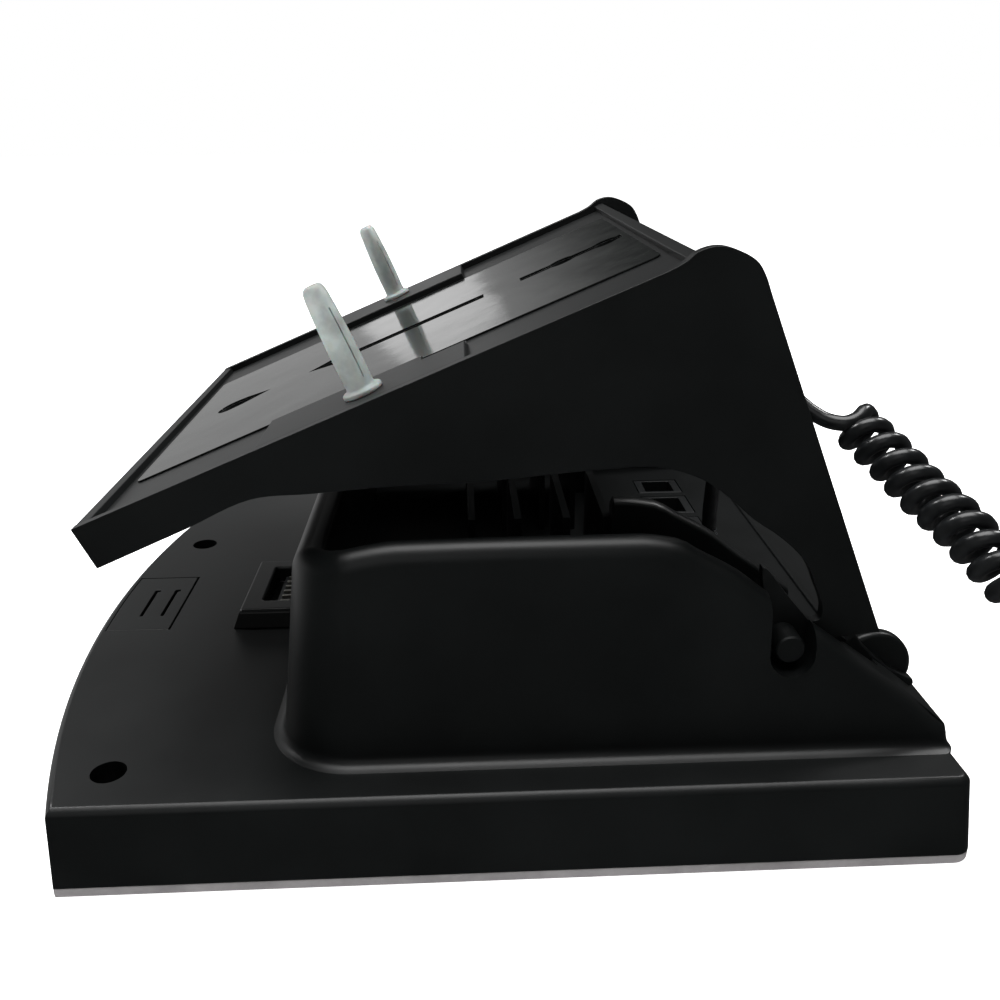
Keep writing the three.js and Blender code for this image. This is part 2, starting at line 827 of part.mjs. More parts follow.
function portContacts() {
  const x = portWindow[1] - contactHalf - closeGap;
  const y = (portWindow[2] + portWindow[3]) / 2;
  const half = contactRow / 2;
  const block = prism(rectangle(x - contactHalf, x + contactHalf, y - half, y + half), portWindowFloor, contactTop);
  const grooves = [];
  for (let at = y - half + contactPitch; at < y + half - closeGap; at += contactPitch) {
    const groove = rectangle(x - contactHalf, x + contactHalf, at - contactGroove, at + contactGroove);
    grooves.push(prism(groove, contactTop - contactHalf / 2, contactTop + contactHalf));
  }
  return cut(block, ...grooves);
}
addPiece('module_port_contacts', portContacts(), 'gold');

// Sockets in the cable bay

function jack(name, y, half) {
  const outer = rectangle(jackX - wideJackHalf, jackX + wideJackHalf, y - half, y + half);
  const innerHalf = wideJackHalf - 2 * jackWall;
  const inner = rectangle(jackX - innerHalf, jackX + innerHalf, y - half + jackWall, y + half - jackWall);
  const body = cut(prism(outer, jackBottom, jackDeck), prism(inner, jackBottom + jackFloor, aboveAll));
  if (name !== 'power_jack') {
    return body;
  }
  return joined(body, drilled([jackX, y], powerPinRadius, jackBottom + jackFloor - closeGap, powerPinTop, 10));
}

jacks.forEach(({ name, y, half }) => addPiece(name, jack(name, y, half), 'socket'));

// Bezel, panel, display and boards

const bezel = cut(prism(caseOutline(0), 0, bezelTop), prism(caseOutline(bezelInset), -slack, aboveAll));
addPiece('front_bezel', bezel, 'silverTrim');

function planAround([x0, x1, y0, y1], spread, corner) {
  return roundedRectangle(x0 - spread, x1 + spread, y0 - spread, y1 + spread, corner);
}

function keyPlan([length, width], x, y, spread, corner = keyCorner) {
  return planAround([x - length / 2, x + length / 2, y - width / 2, y + width / 2], spread, corner);
}

const softKeys = soft_key_shares.map((share, i) => (
  [`soft_key_${i + 1}`, softKey, softKeyRow, share * caseWidth]
));
const rowPlace = (row) => lowestRow + (dialNames.length - 1 - row) * rowPitch;
const dialKeys = dialNames.flatMap((row, i) => row.map((name, j) => (
  [name, dialKey, rowPlace(i), navigationY + (j - 1) * columnPitch]
)));
const sideKeys = sideKeyNames.map((name, i) => [name, sideKey, rowPlace(i), sideKeyColumn]);
const squareKeys = [...softKeys, ...dialKeys, ...sideKeys];

function frontPanel() {
  const plate = joined(
    prism(caseOutline(bezelInset + slack), panelFace, panelTop - closeGap),
    prism(caseOutline(panelFlangeInset), bezelTop, panelTop),
  );
  const through = (points) => prism(points, 0, aboveAll);
  const keyHoles = squareKeys.map(([, size, x, y]) => through(keyPlan(size, x, y, slack)));
  const rocker = [rockerWidth, rockerLength];
  return cut(
    plate,
    ...keyHoles,
    through(disc(navigationX, navigationY, navigationRadius + slack, 24)),
    through(keyPlan(rocker, rockerX, rockerY, rockerSlack)),
    through(planAround(cradlePlan, 0, cradleCorner)),
    through(planAround(displayWindow, -displayLedge, displayCorner)),
    prism(planAround(displayWindow, 0, displayCorner), 0, panelFace + windowThickness),
  );
}

addPiece('front_panel', frontPanel(), 'blackShell');
const glass = prism(planAround(displayWindow, -slack, displayCorner), panelFace, panelFace + windowThickness);
addPiece('display_window', glass, 'glass');
addPiece('display_module', prism(planAround(displayWindow, -closeGap, closeGap), panelTop, moduleTop), 'socket');
addPiece('keypad_mat', prism(planAround(matPlan, 0, keyCorner), matBottom, boardBottom), 'rubber');
addPiece('main_board', prism(rectangle(...boardPlan), boardBottom, boardTop), 'board');

// Keys

function keyCap(size) {
  const cap = stack([
    { at: keyFace, points: keyPlan(size, 0, 0, -keyCrownInset, keyCorner - keyCrownInset / 2) },
    { at: keyFace + keyCrown, points: keyPlan(size, 0, 0, -closeGap) },
    { at: keyFlangeTop, points: keyPlan(size, 0, 0, -closeGap) },
  ]);
  return joined(cap, prism(keyPlan(size, 0, 0, keyFlange), panelTop + closeGap, keyFlangeTop));
}

squareKeys.forEach(([name, size, x, y]) => addPiece(name, keyCap(size), 'keyPlastic').position.set(x, y, 0));

const navigationKey = turned([
  [0, keyFace + navigationDish], [navigationDishRadius, keyFace + navigationDish],
  [navigationDishRadius + navigationDish, keyFace], [navigationRadius - keyCrown, keyFace],
  [navigationRadius, keyFace + keyCrown], [navigationRadius, panelTop + closeGap],
  [navigationRadius + keyFlange, panelTop + closeGap], [navigationRadius + keyFlange, keyFlangeTop],
  [0, keyFlangeTop],
], 24);
addPiece('navigation_key', navigationKey, 'keyPlastic').position.set(navigationX, navigationY, 0);

function volumeRocker() {
  const size = [rockerWidth, rockerLength];
  const body = stack([
    { at: rockerFace, points: keyPlan(size, 0, 0, -keyCrown, keyCorner) },
    { at: rockerFace + keyCrown, points: keyPlan(size, 0, 0, 0) },
    { at: rockerTop, points: keyPlan(size, 0, 0, 0) },
  ]);
  const rod = prismAlongX(disc(0, panelTop + closeGap + rockerRod, rockerRod, 10), -rockerRodHalf, rockerRodHalf);
  return joined(body, rod);
}
addPiece('volume_rocker', volumeRocker(), 'keyPlastic').position.set(rockerX, rockerY, 0);

// Handset cradle, hook plunger and loudspeaker

function cradle() {
  const [left, right, near, far] = cradlePlan;
  const side = [
    [left, cradleFace], [right, cradleFace], [right, cradleEarTop], [cradleEarLeft, cradleEarTop],
    [cradleEarLeft - cradleSlope, cradleMiddleTop], [cradleMouthRight + cradleSlope, cradleMiddleTop],
    [cradleMouthRight, cradleMouthTop], [left, cradleMouthTop],
  ];
  const block = common(
    prismAcross(side, near, far),
    prism(planAround(cradlePlan, -slack, cradleCorner), 0, aboveAll),
  );
  const tray = joined(block, prism(planAround(cradlePlan, cradleFlange, cradleCorner), panelTop, cradleFlangeTop));
  const wellPlan = (x0, x1, side) => roundedRectangle(x0, x1, near + side, far - side, cradleCorner);
  const well = (x0, x1, top) => stack([
    { at: 0, points: wellPlan(x0, x1, wellInset - slack) },
    { at: top, points: wellPlan(x0 + cradleSlope / 2, x1 - cradleSlope / 2, wellInset) },
  ]);
  const slots = speaker_steps.map((step) => {
    const x = speakerX + step * speakerSlotPitch;
    const reach = speakerSlotReach - Math.abs(step) * speakerSlotHalf * 2;
    return prism(rectangle(x - speakerSlotHalf, x + speakerSlotHalf, speakerY - reach, speakerY + reach), 0, aboveAll);
  });
  const hole = planAround(
    [hookX - hookHalfLength, hookX + hookHalfLength, hookY - hookHalfWidth, hookY + hookHalfWidth], slack, hookCorner,
  );
  return cut(
    tray,
    well(cradleEarLeft + cradleWall, right - wellInset, cradleEarTop - cradleWall),
    well(left + wellInset, cradleMouthRight - cradleWall, cradleMouthTop - cradleWall),
    well(cradleMouthRight - 2 * cradleCorner, cradleEarLeft + 2 * cradleCorner, cradleMiddleTop - cradleWall),
    ...slots,
    prism(hole, 0, aboveAll),
  );
}
addPiece('handset_cradle', cradle(), 'blackShell');

function hookPlunger() {
  const plan = [-hookHalfLength, hookHalfLength, -hookHalfWidth, hookHalfWidth];
  const stem = stack([
    { at: hookReach, points: planAround(plan, -keyCrownInset, hookCorner) },
    { at: hookReach + keyCrownInset, points: planAround(plan, 0, hookCorner) },
    { at: hookTop, points: planAround(plan, 0, hookCorner) },
  ]);
  return joined(stem, prism(planAround(plan, hookFlange, hookCorner), cradleEarTop + closeGap, hookTop));
}
addPiece('hook_plunger', hookPlunger(), 'keyPlastic').position.set(hookX, hookY, 0);

const loudspeaker = turned([
  [0, cradleMiddleTop + speakerRimHeight], [speakerConeRadius / 2, cradleMiddleTop + speakerRimHeight],
  [speakerRadius - speakerRimHeight, cradleMiddleTop], [speakerRadius, cradleMiddleTop],
  [speakerRadius, cradleMiddleTop + speakerRimHeight], [speakerConeRadius, speakerTop - speakerMagnetHeight],
  [speakerConeRadius, speakerTop], [0, speakerTop],
]);
addPiece('loudspeaker', loudspeaker, 'socket').position.set(speakerX, speakerY, 0);

// Stand, modelled in its own frame: X along the rim, Z square to the deck

const standTilt = Math.atan2(standRise, standRun);
stand.position.set(standFootX, 0, standFootZ);
stand.rotation.set(0, -standTilt, 0);

const deckTop = -deckSink;
const deckBottom = deckTop - deckThickness;
const standFar = caseWidth - standNear;
const innerNear = standNear + standWall;
const innerFar = standFar - standWall;
const plugAcross = innerNear + plugInset;

const pinRun = hingeX - standFootX;
const pinDrop = hingeZ - standFootZ;
const pinAlong = pinRun * Math.cos(standTilt) + pinDrop * Math.sin(standTilt);
const pinDepth = pinDrop * Math.cos(standTilt) - pinRun * Math.sin(standTilt);
const wallOutline = wall_outline_shares.map(([along, down]) => [along * pinAlong, down * pinDepth]);
const deckEnd = deck_end_share * pinAlong;
const [padStart, padEnd] = pad_shares.map((share) => share * pinAlong);

function slotHalf(half, from, to) {
  return rectangle(from, to, keyholeCentre - half, keyholeCentre + half);
}

function deckOpenings(spread) {
  const y = keyholeCentre;
  const through = (points) => prism(points, deckBottom - slack, slack);
  const leafHead = leaf_share * pinAlong;
  const arrowTip = arrow_share * pinAlong;
  const arrowBase = arrowTip + arrowLength;
  const longStart = long_slot_share * pinAlong;
  const leafPoint = [leafHead + leafLength + spread, y];
  const leafSide = leafRadius + spread;
  const arrowSide = arrowHalf + spread;
  const arrowBack = arrowBase + spread;
  return [
    through(disc(leafHead, y, leafSide, 16)),
    through([[leafHead, y - leafSide], leafPoint, [leafHead, y + leafSide]]),
    through([[arrowTip - spread, y], [arrowBack, y - arrowSide], [arrowBack, y + arrowSide]]),
    through(slotHalf(barHalf + spread, arrowBase - slack, bar_end_share * pinAlong + spread)),
    through(slotHalf(longHalf + spread, longStart - spread, longStart + longLength + spread)),
    ...longHeadSteps.map((step) => through(disc(longStart + step, y, longHeadRadius + spread, 16))),
  ];
}

function standShell() {
  const plugAlong = plug_share * pinAlong;
  const walls = bothSides(joined(
    prismAcross(wallOutline, standNear, innerNear),
    prismAcross(disc(pinAlong, pinDepth, hingePinRadius, 24), hingePinOuter, innerNear - slack),
  ));
  const across = (from, to, bottom, top) => prismAcross(
    rectangle(from, to, bottom, top), innerNear - slack, innerFar + slack,
  );
  const pads = bothSides(prismAcross(
    rectangle(padStart, padEnd, deckTop - slack, 0), innerNear - slack, innerNear + padWidth,
  ));
  const shell = joined(
    across(slack, deckEnd, deckBottom, deckTop),
    across(slack, lipThickness, -lipDepth, -slack),
    across(deckEnd - slack, deckEnd + railThickness, -railDepth, -slack),
    ...walls,
    ...pads,
  );
  const screwHoles = bothSides(drilled([plugAlong, plugAcross], plugBore, deckBottom - slack, slack, 16));
  return cut(shell, ...deckOpenings(0), ...screwHoles);
}

addPiece('stand_shell', standShell(), 'blackShell', stand);

function film() {
  const near = innerNear + filmInset;
  const plan = roundedRectangle(filmStart, deckEnd - filmEndMargin, near, caseWidth - near, filmCorner);
  const sheet = prism(plan, deckTop + closeGap, deckTop + closeGap + filmThickness);
  return cut(sheet, ...deckOpenings(slack));
}
addPiece('stand_film', film(), 'blackFilm', stand);

function wallPlug() {
  const barbs = barb_shares.flatMap(([root, end]) => (
    [[plugRadius, plugHeight * root], [plugRadius - slack, plugHeight * end]]
  ));
  const body = turned([
    [plugBore, 0], [plugFlangeRadius - slack, 0], [plugFlangeRadius, slack],
    [plugFlangeRadius, plugFlangeThickness], [plugRadius, plugFlangeThickness + slack],
    ...barbs, [plugRadius, plugHeight * split_share], [plugWaist, plugHeight * tip_share],
    [plugBore + slack, plugHeight], [plugBore, plugHeight], [plugBore, 0],
  ]);
  const across = rectangle(-slack, slack, -plugFlangeRadius, plugFlangeRadius);
  return cut(body, prism(across, plugHeight * split_share, plugHeight + slack));
}

const wallScrew = turned([
  [0, deckBottom - screwHeadDepth], [screwHeadRadius * 0.6, deckBottom - screwHeadDepth],
  [screwHeadRadius, deckBottom], [screwRadius, deckBottom],
  [screwRadius, screwReach - screwTip], [0, screwReach],
], 16);

[['near', plugAcross], ['far', caseWidth - plugAcross]].forEach(([side, y]) => {
  addPiece(`wall_plug_${side}`, wallPlug(), 'nylon', stand).position.set(plug_share * pinAlong, y, 0);
  addPiece(`wall_screw_${side}`, wallScrew, 'steel', stand).position.set(plug_share * pinAlong, y, 0);
});

// Handset, lofted along X and split at its seam

const smooth = (value) => value * value * (3 - 2 * value);
const clamped = (value) => Math.min(Math.max(value, 0), 1);

function handsetRing(share) {
  const fromEnd = Math.min(share, 1 - share);
  const round = Math.sqrt(1 - (1 - Math.min(1, fromEnd / end_share)) ** 2);
  const blunt = blunt_share + (1 - blunt_share) * round;
  const grip = smooth(clamped((fromEnd - cap_share) / (grip_share - cap_share)));
  const half = (handsetHalf - handsetWaist * grip) * blunt;
  const bottom = handsetArch * grip + handsetEndLift * (1 - blunt);
  const top = handsetEndHeight + handsetMiddleRise * Math.sin(Math.PI * share) - handsetEndDrop * (1 - blunt);
  const corner = Math.min(handsetCorner, half * 0.7, (top - bottom) * 0.45);
  return { at: handsetLength * share, points: roundedRectangle(-half, half, bottom, top, corner) };
}

handset.position.set(handsetLeft, handsetY, 0);
const handsetBody = stackAlongX(station_shares.map(handsetRing));
const belowSeam = prism(
  rectangle(-handsetHalf, handsetLength + handsetHalf, -2 * handsetHalf, 2 * handsetHalf), -handsetHalf, handsetSeam,
);
const earPlace = [capOffset, 0];
const mouthPlace = [handsetLength - capOffset, 0];

function socketPlan(spread) {
  return rectangle(
    socketLeft - handsetLeft - spread, socketRight - handsetLeft + spread, -socketHalf - spread, socketHalf + spread,
  );
}

function lowerShell() {
  const wide = plugHalfWide + 2 * slack;
  const high = plugHalfHigh + 2 * slack;
  const channel = prismAlongX(
    rectangle(-wide, wide, plugMiddle - high, plugMiddle + high), socketRight - handsetLeft, handsetLength + handsetHalf,
  );
  return cut(
    common(handsetBody, belowSeam),
    drilled(earPlace, grilleRadius + slack, -slack, grilleRecess, 24),
    drilled(earPlace, capsuleRadius + slack, capsuleFloor, aboveAll, 24),
    drilled(earPlace, soundHole, 0, capsuleFloor + closeGap, 12),
    drilled(mouthPlace, mouthGrilleRadius + slack, -slack, grilleRecess),
    drilled(mouthPlace, microphoneRadius + slack, capsuleFloor, aboveAll, 16),
    drilled(mouthPlace, soundHole, 0, capsuleFloor + closeGap, 12),
    prism(socketPlan(slack), socketFloor, aboveAll),
    channel,
  );
}

function grille(radius, ringRadius, count) {
  const plate = prism(disc(0, 0, radius, 24), grilleRecess - grilleThickness, grilleRecess);
  const holes = Array.from({ length: count }, (_, i) => {
    const angle = (2 * Math.PI * i) / count;
    const place = [ringRadius * Math.cos(angle), ringRadius * Math.sin(angle)];
    return drilled(place, grilleHoleRadius, 0, capsuleFloor, 8);
  });
  return cut(plate, drilled([0, 0], grilleHoleRadius, 0, capsuleFloor, 8), ...holes);
}

addPiece('handset_lower_shell', lowerShell(), 'blackShell', handset);
addPiece('handset_upper_shell', cut(handsetBody, belowSeam), 'blackShell', handset);
addPiece('earpiece_grille', grille(grilleRadius, grilleRingRadius, 6), 'socket', handset)
  .position.set(...earPlace, 0);
addPiece('mouthpiece_grille', grille(mouthGrilleRadius, mouthRingRadius, 5), 'socket', handset)
  .position.set(...mouthPlace, 0);
const capsuleMiddle = (capsuleFloor + capsuleTop) / 2;
addPiece('receiver_capsule', turned([
  [0, capsuleFloor], [capsuleRadius, capsuleFloor], [capsuleRadius, capsuleMiddle],
  [capsuleBackRadius, capsuleMiddle], [capsuleBackRadius, capsuleTop], [0, capsuleTop],
]), 'steel', handset).position.set(...earPlace, 0);
addPiece('microphone', turned([
  [0, capsuleFloor], [microphoneRadius, capsuleFloor], [microphoneRadius, microphoneTop], [0, microphoneTop],
], 16), 'steel', handset).position.set(...mouthPlace, 0);

const socketCavity = prismAlongX(
  rectangle(-socketHalf + socketWall, socketHalf - socketWall, socketFloor + socketWall, socketTop - socketWall),
  socketLeft - handsetLeft + 2 * socketWall,
  handsetLength,
);
addPiece('handset_socket', cut(prism(socketPlan(0), socketFloor, socketTop), socketCavity), 'socket', handset);

// Plugs, made standing on Z and then laid where they go

function cordPlug() {
  const block = prism(rectangle(-plugHalfHigh, plugHalfHigh, -plugHalfWide, plugHalfWide), 0, plugBlockLength);
  const profile = [[0, plugBlockLength - closeGap], [bootRoot - closeGap, plugBlockLength - closeGap]];
  for (let i = 0; i < bootRings; i++) {
    const radius = bootRoot + ((bootTip - bootRoot) * i) / bootRings;
    const from = plugBlockLength + (bootLength * i) / bootRings;
    const step = bootLength / bootRings;
    profile.push([radius, from], [radius, from + step * 0.6]);
    profile.push([radius - bootGroove, from + step * 0.7], [radius - bootGroove, from + step * 0.95]);
  }
  profile.push([bootTip, plugBlockLength + bootLength], [0, plugBlockLength + bootLength]);
  return joined(block, turned(profile, 12));
}

const phonePlugBottom = jackBottom + jackFloor + slack;
addPiece('cord_plug_at_phone', cordPlug(), 'plugClear').position.set(jackX, jacks[0].y, phonePlugBottom);
const layAlongX = new THREE.Matrix4().makeBasis(
  new THREE.Vector3(0, 0, -1),
  new THREE.Vector3(0, 1, 0),
  new THREE.Vector3(1, 0, 0),
);
addPiece('cord_plug_at_handset', cordPlug().applyMatrix4(layAlongX), 'plugClear')
  .position.set(handsetPlugLeft, handsetY, plugMiddle);

// Curly cord: a helix wound round its axis, with a straight lead at each end

const axis = new THREE.CatmullRomCurve3(cordAxis.map((p) => new THREE.Vector3(...p)));
const axisLength = axis.getLength();
const leadLength = wireDiameter;
const woundLength = axisLength - 2 * leadLength;
const curls = Math.round(woundLength / curlPitch);
const axisSteps = curls * turn_steps;
const frames = axis.computeFrenetFrames(axisSteps, false);

function helixPoint(step) {
  const share = step / axisSteps;
  const at = clamped((leadLength + woundLength * share) / axisLength);
  const centre = axis.getPointAt(at);
  const turns = step / turn_steps;
  const fromEnd = Math.min(turns, curls - turns);
  const radius = curlRadius * smooth(clamped(fromEnd / easing_turns));
  const angle = 2 * Math.PI * turns + Math.PI;
  const nearest = Math.round(clamped(at) * axisSteps);
  const outward = frames.normals[nearest].clone().multiplyScalar(Math.cos(angle))
    .addScaledVector(frames.binormals[nearest], Math.sin(angle));
  return { point: centre.addScaledVector(outward, radius), outward };
}

function cordCentreline() {
  const line = [];
  for (let step = 0; step <= axisSteps; step++) {
    line.push(helixPoint(step));
  }
  const first = { point: axis.getPointAt(0), outward: line[0].outward };
  const last = { point: axis.getPointAt(1), outward: line.at(-1).outward };
  return [first, ...line, last];
}

function woundTube(line, radius) {
  const rings = line.map(({ point, outward }, i) => {
    const before = line[Math.max(i - 1, 0)].point;
    const after = line[Math.min(i + 1, line.length - 1)].point;
    const ahead = after.clone().sub(before).normalize();
    const side = outward.clone().addScaledVector(ahead, -outward.dot(ahead)).normalize();
    const up = ahead.clone().cross(side);
    return Array.from({ length: wire_sides }, (_, k) => {
      const angle = (2 * Math.PI * k) / wire_sides;
      const across = side.clone().multiplyScalar(Math.cos(angle)).addScaledVector(up, Math.sin(angle));
      return point.clone().addScaledVector(across, radius);
    });
  });
  const positions = rings.flat().flatMap(({ x, y, z }) => [x, y, z]);
  const indices = [];
  for (let i = 0; i < rings.length - 1; i++) {
    for (let k = 0; k < wire_sides; k++) {
      const a = i * wire_sides + k;
      const b = i * wire_sides + ((k + 1) % wire_sides);
      indices.push(a, b, b + wire_sides, a, b + wire_sides, a + wire_sides);
    }
  }
  const lastRing = (rings.length - 1) * wire_sides;
  for (let k = 1; k < wire_sides - 1; k++) {
    indices.push(0, k + 1, k);
    indices.push(lastRing, lastRing + k, lastRing + k + 1);
  }
  const geometry = new THREE.BufferGeometry();
  geometry.setAttribute('position', new THREE.Float32BufferAttribute(positions, 3));
  geometry.setIndex(indices);
  return geometry;
}

function ownGap(line) {
  let least = Infinity;
  for (let i = 0; i < line.length; i++) {
    for (let j = i + turn_steps / 2 + 1; j < line.length; j++) {
      least = Math.min(least, line[i].point.distanceTo(line[j].point) - wireDiameter);
    }
  }
  return least;
}

const centreline = cordCentreline();
const gapFound = ownGap(centreline);
if (gapFound < leastOwnGap) {
  throw new Error(`the curly cord comes within ${gapFound} mm of itself`);
}
let cordLength = 0;
for (let i = 1; i < centreline.length; i++) {
  cordLength += centreline[i].point.distanceTo(centreline[i - 1].point);
}
addPiece('curly_cord', woundTube(centreline, wireDiameter / 2), 'cordSheath');

// Straight stretches at the two ends of the cord

function tail(name, points) {
  const curve = new THREE.CatmullRomCurve3(points);
  const outline = new THREE.Shape(disc(0, 0, wireDiameter / 2, 8).map((p) => new THREE.Vector2(...p)));
  const steps = Math.ceil(curve.getLength() / tailStep);
  const geometry = new THREE.ExtrudeGeometry(outline, { steps, extrudePath: curve });
  cordLength += curve.getLength();
  return addPiece(name, geometry, 'cordSheath');
}

function beyond(end, share) {
  const direction = axis.getTangentAt(share).multiplyScalar(share === 0 ? -1 : 1);
  return [cordJoint, cordJoint + wireDiameter].map((reach) => end.clone().addScaledVector(direction, reach));
}

const [phoneMeet, phoneLead] = beyond(axis.getPointAt(0), 0);
const [handsetMeet, handsetLead] = beyond(axis.getPointAt(1), 1);
const phoneStart = phonePlugBottom + plugBlockLength + bootLength + cordJoint;
const handsetStart = handsetPlugLeft + plugBlockLength + bootLength + cordJoint;
const asVectors = (points) => points.map((p) => new THREE.Vector3(...p));

tail('cord_tail_at_phone', [
  ...asVectors([[jackX, jacks[0].y, phoneStart], [jackX, jacks[0].y, phoneStart + wireDiameter]]),
  ...asVectors(phoneTail), phoneLead, phoneMeet,
]);
tail('cord_tail_at_handset', [
  ...asVectors([[handsetStart, handsetY, plugMiddle], [handsetStart + wireDiameter, handsetY, plugMiddle]]),
  ...asVectors(handsetTail), handsetLead, handsetMeet,
]);

console.log(`curls ${curls}, least gap of the cord to itself ${gapFound.toFixed(2)} mm`);
console.log(`cord length ${cordLength.toFixed(0)} mm`);

// The origin is under the middle of the telephone and handset, on the table

const middleX = (caseLength - bowDepth) / 2;
const middleY = (caseWidth + handsetY - handsetHalf) / 2;
telephone.position.set(-middleX, -middleY, 0);

const part = new THREE.Group();
part.add(telephone);

export default part;
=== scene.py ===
"""A corded desk telephone lying on its face, dressed round its CAD frame.

Sizes are in millimetres in the maker's frame of the CAD source: X runs along
the telephone from its foot to its head, Y across it and Z up from the table.
"""

import math

import bmesh
import bpy
from bpy.props import FloatProperty, FloatVectorProperty, IntProperty, PointerProperty
from mathutils import Matrix, Vector


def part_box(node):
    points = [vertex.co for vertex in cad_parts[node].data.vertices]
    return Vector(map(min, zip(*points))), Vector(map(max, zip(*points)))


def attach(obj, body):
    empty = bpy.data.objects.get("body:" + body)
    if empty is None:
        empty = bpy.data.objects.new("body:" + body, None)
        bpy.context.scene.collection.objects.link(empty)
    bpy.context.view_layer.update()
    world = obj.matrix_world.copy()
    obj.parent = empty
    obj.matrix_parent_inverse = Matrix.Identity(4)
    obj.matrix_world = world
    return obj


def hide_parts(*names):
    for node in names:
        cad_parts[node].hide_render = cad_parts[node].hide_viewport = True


bl_info = {
    "name": "Corded telephone",
    "version": (1, 0, 0),
    "blender": (4, 5, 0),
    "location": "3D View > Sidebar > Telephone",
    "description": "Makes a corded desk telephone that lies on its face",
    "category": "Add Mesh",
}

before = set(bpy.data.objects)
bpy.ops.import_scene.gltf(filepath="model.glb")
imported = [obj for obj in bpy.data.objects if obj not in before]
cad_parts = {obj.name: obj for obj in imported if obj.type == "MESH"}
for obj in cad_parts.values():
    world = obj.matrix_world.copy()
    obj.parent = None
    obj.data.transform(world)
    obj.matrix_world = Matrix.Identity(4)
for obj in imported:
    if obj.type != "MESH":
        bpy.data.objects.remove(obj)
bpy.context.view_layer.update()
MM = 0.001
BASE, STAND = "telephone", "stand"

# Sizes that the CAD source gives
CASE_LENGTH, CASE_WIDTH, BOW_DEPTH, CASE_CORNER = 231.0, 223.2, 19.2, 5.0
BEZEL_TOP, CASE_TOP, CASE_EDGE, WALL_DRAFT = 3.0, 25.0, 2.0, 1.35
HANDSET_LENGTH, HANDSET_HALF, HANDSET_Y = 200, 23, -108
MIDDLE = Vector(((CASE_LENGTH - BOW_DEPTH) / 2, (CASE_WIDTH + HANDSET_Y - HANDSET_HALF) / 2, 0))
TO_ROW = Matrix.Scale(MM, 4) @ Matrix.Translation(-MIDDLE)
HINGE = (187.6, 48.1)
HINGE_POCKET = (HINGE[0] - 10, HINGE[0] + 10)
STAND_FOOT = (8.1, 87.0)
STAND_TILT = math.atan2(62, 148.8)
STAND_PLACE = (Matrix.Translation((STAND_FOOT[0], 0, STAND_FOOT[1]))
               @ Matrix.Rotation(-STAND_TILT, 4, "Y"))
HANDSET_PLACE = Matrix.Translation((-14, HANDSET_Y, 0))
COVER_THICKNESS = 1.8
CASE_SCREWS = {"near": (11.4, 16.2), "far": (1, 160.4)}
PLUG_X, PLUG_EDGE = 77, 38.9
EAR_X, MOUTH_X = 28, 172

# The rim's height along X, and the stand wall's outline in the stand's own plane
RIM = [
    (50, 60), (58, 72), (60.5, 76), (64.5, 78.6), (69.5, 80), (73, 81.2), (87.5, 83.3),
    (115, 83.6), (145, 83.6), (154.8, 82.3), (161, 78.9), (170, 73.8), (178, 67.6), (187.7, 60.6),
    (205.5, 47.3), (216.3, 39.3), (227, 30.5), (231, 27.2),
]
WALL = [
    (0, 0), (0.3, -11.5), (24.8, -11.1), (42.8, -10.6), (56.5, -15.1), (76, -21.6), (95.1, -28.9),
    (122.7, -37.8), (136.3, -43.2), (144.9, -50.5), (149.3, -57.5), (153.2, -65.6), (157.3, -72),
    (160.3, -78), (161.9, -83), (162.2, -89), (162, -96.5), (160.4, -99.3), (158, -98.8),
    (156.9, -96), (154.4, -88.1), (152.3, -80.5), (151.4, -79.3), (150.7, -80.6), (149.4, -86),
    (147.8, -94), (145.6, -101.4), (144.8, -105.2), (146.6, -109.2), (150.7, -110.9),
    (154.8, -109.2), (159, -105.8), (166, -107.4), (172.8, -109.2), (174, -109.7), (173.95, -60),
    (173.9, -14), (173.9, -9.8), (173.2, -6.2), (170.7, -2.7), (166.4, 0.6), (161.7, 1.4),
    (158, 0.4), (154, 0),
]
WALL_CORNERS = (0, 1, 2, 33, 34, 35, 36, 43)
STAND_NEAR, STAND_WALL = 27.3, 3.0
NOTCH, PIN = (184.7, 52.1), (184.8, 52.6)

# The cord's wire and curls, and the points that its middle line passes
WIRE, CURL_RADIUS, CURL_PITCH, CURL_START, CURL_SKEW = 4.4, 4.8, 6.5, 2.6, 0.13
CURL_LEAN, CURL_TURN = (0.72, 0.22, 0.65), 1.85
CURVE_STEPS = 40
CORD_AXIS = [
    (210.2, 63.5, 100.5), (214, 55.7, 96.5), (217.8, 47.6, 92.5), (220.9, 39.1, 88.5),
    (224.8, 27.1, 84.5), (228.5, 14.1, 79.6), (237, -10.9, 66.8), (246.8, -35, 47.3),
    (254.8, -55, 27.8), (259.9, -69, 15.2), (262.6, -81, 9.1), (261.6, -92, 7.5),
    (256.2, -102.2, 7.3), (247.4, -109, 7.3), (236.8, -111.2, 7.3), (226, -110.4, 7.3),
]
PHONE_TAIL = [
    (176, 72, 64.6), (176, 72, 72), (177.2, 71.5, 88), (181, 70.2, 102), (185.5, 68.2, 108.2),
    (190, 66.4, 109.2), (193.6, 64.5, 107.6), (196, 62.4, 105.4), (198.8, 60.5, 103.2),
    (202.8, 58.4, 101.2), (207.2, 56.8, 100.8), (210.5, 57.4, 101.7),
]
HANDSET_TAIL = [(214, -109, 7.9), (207.5, -108.2, 9.3), (201.4, -108, 10), (197.3, -108, 10)]


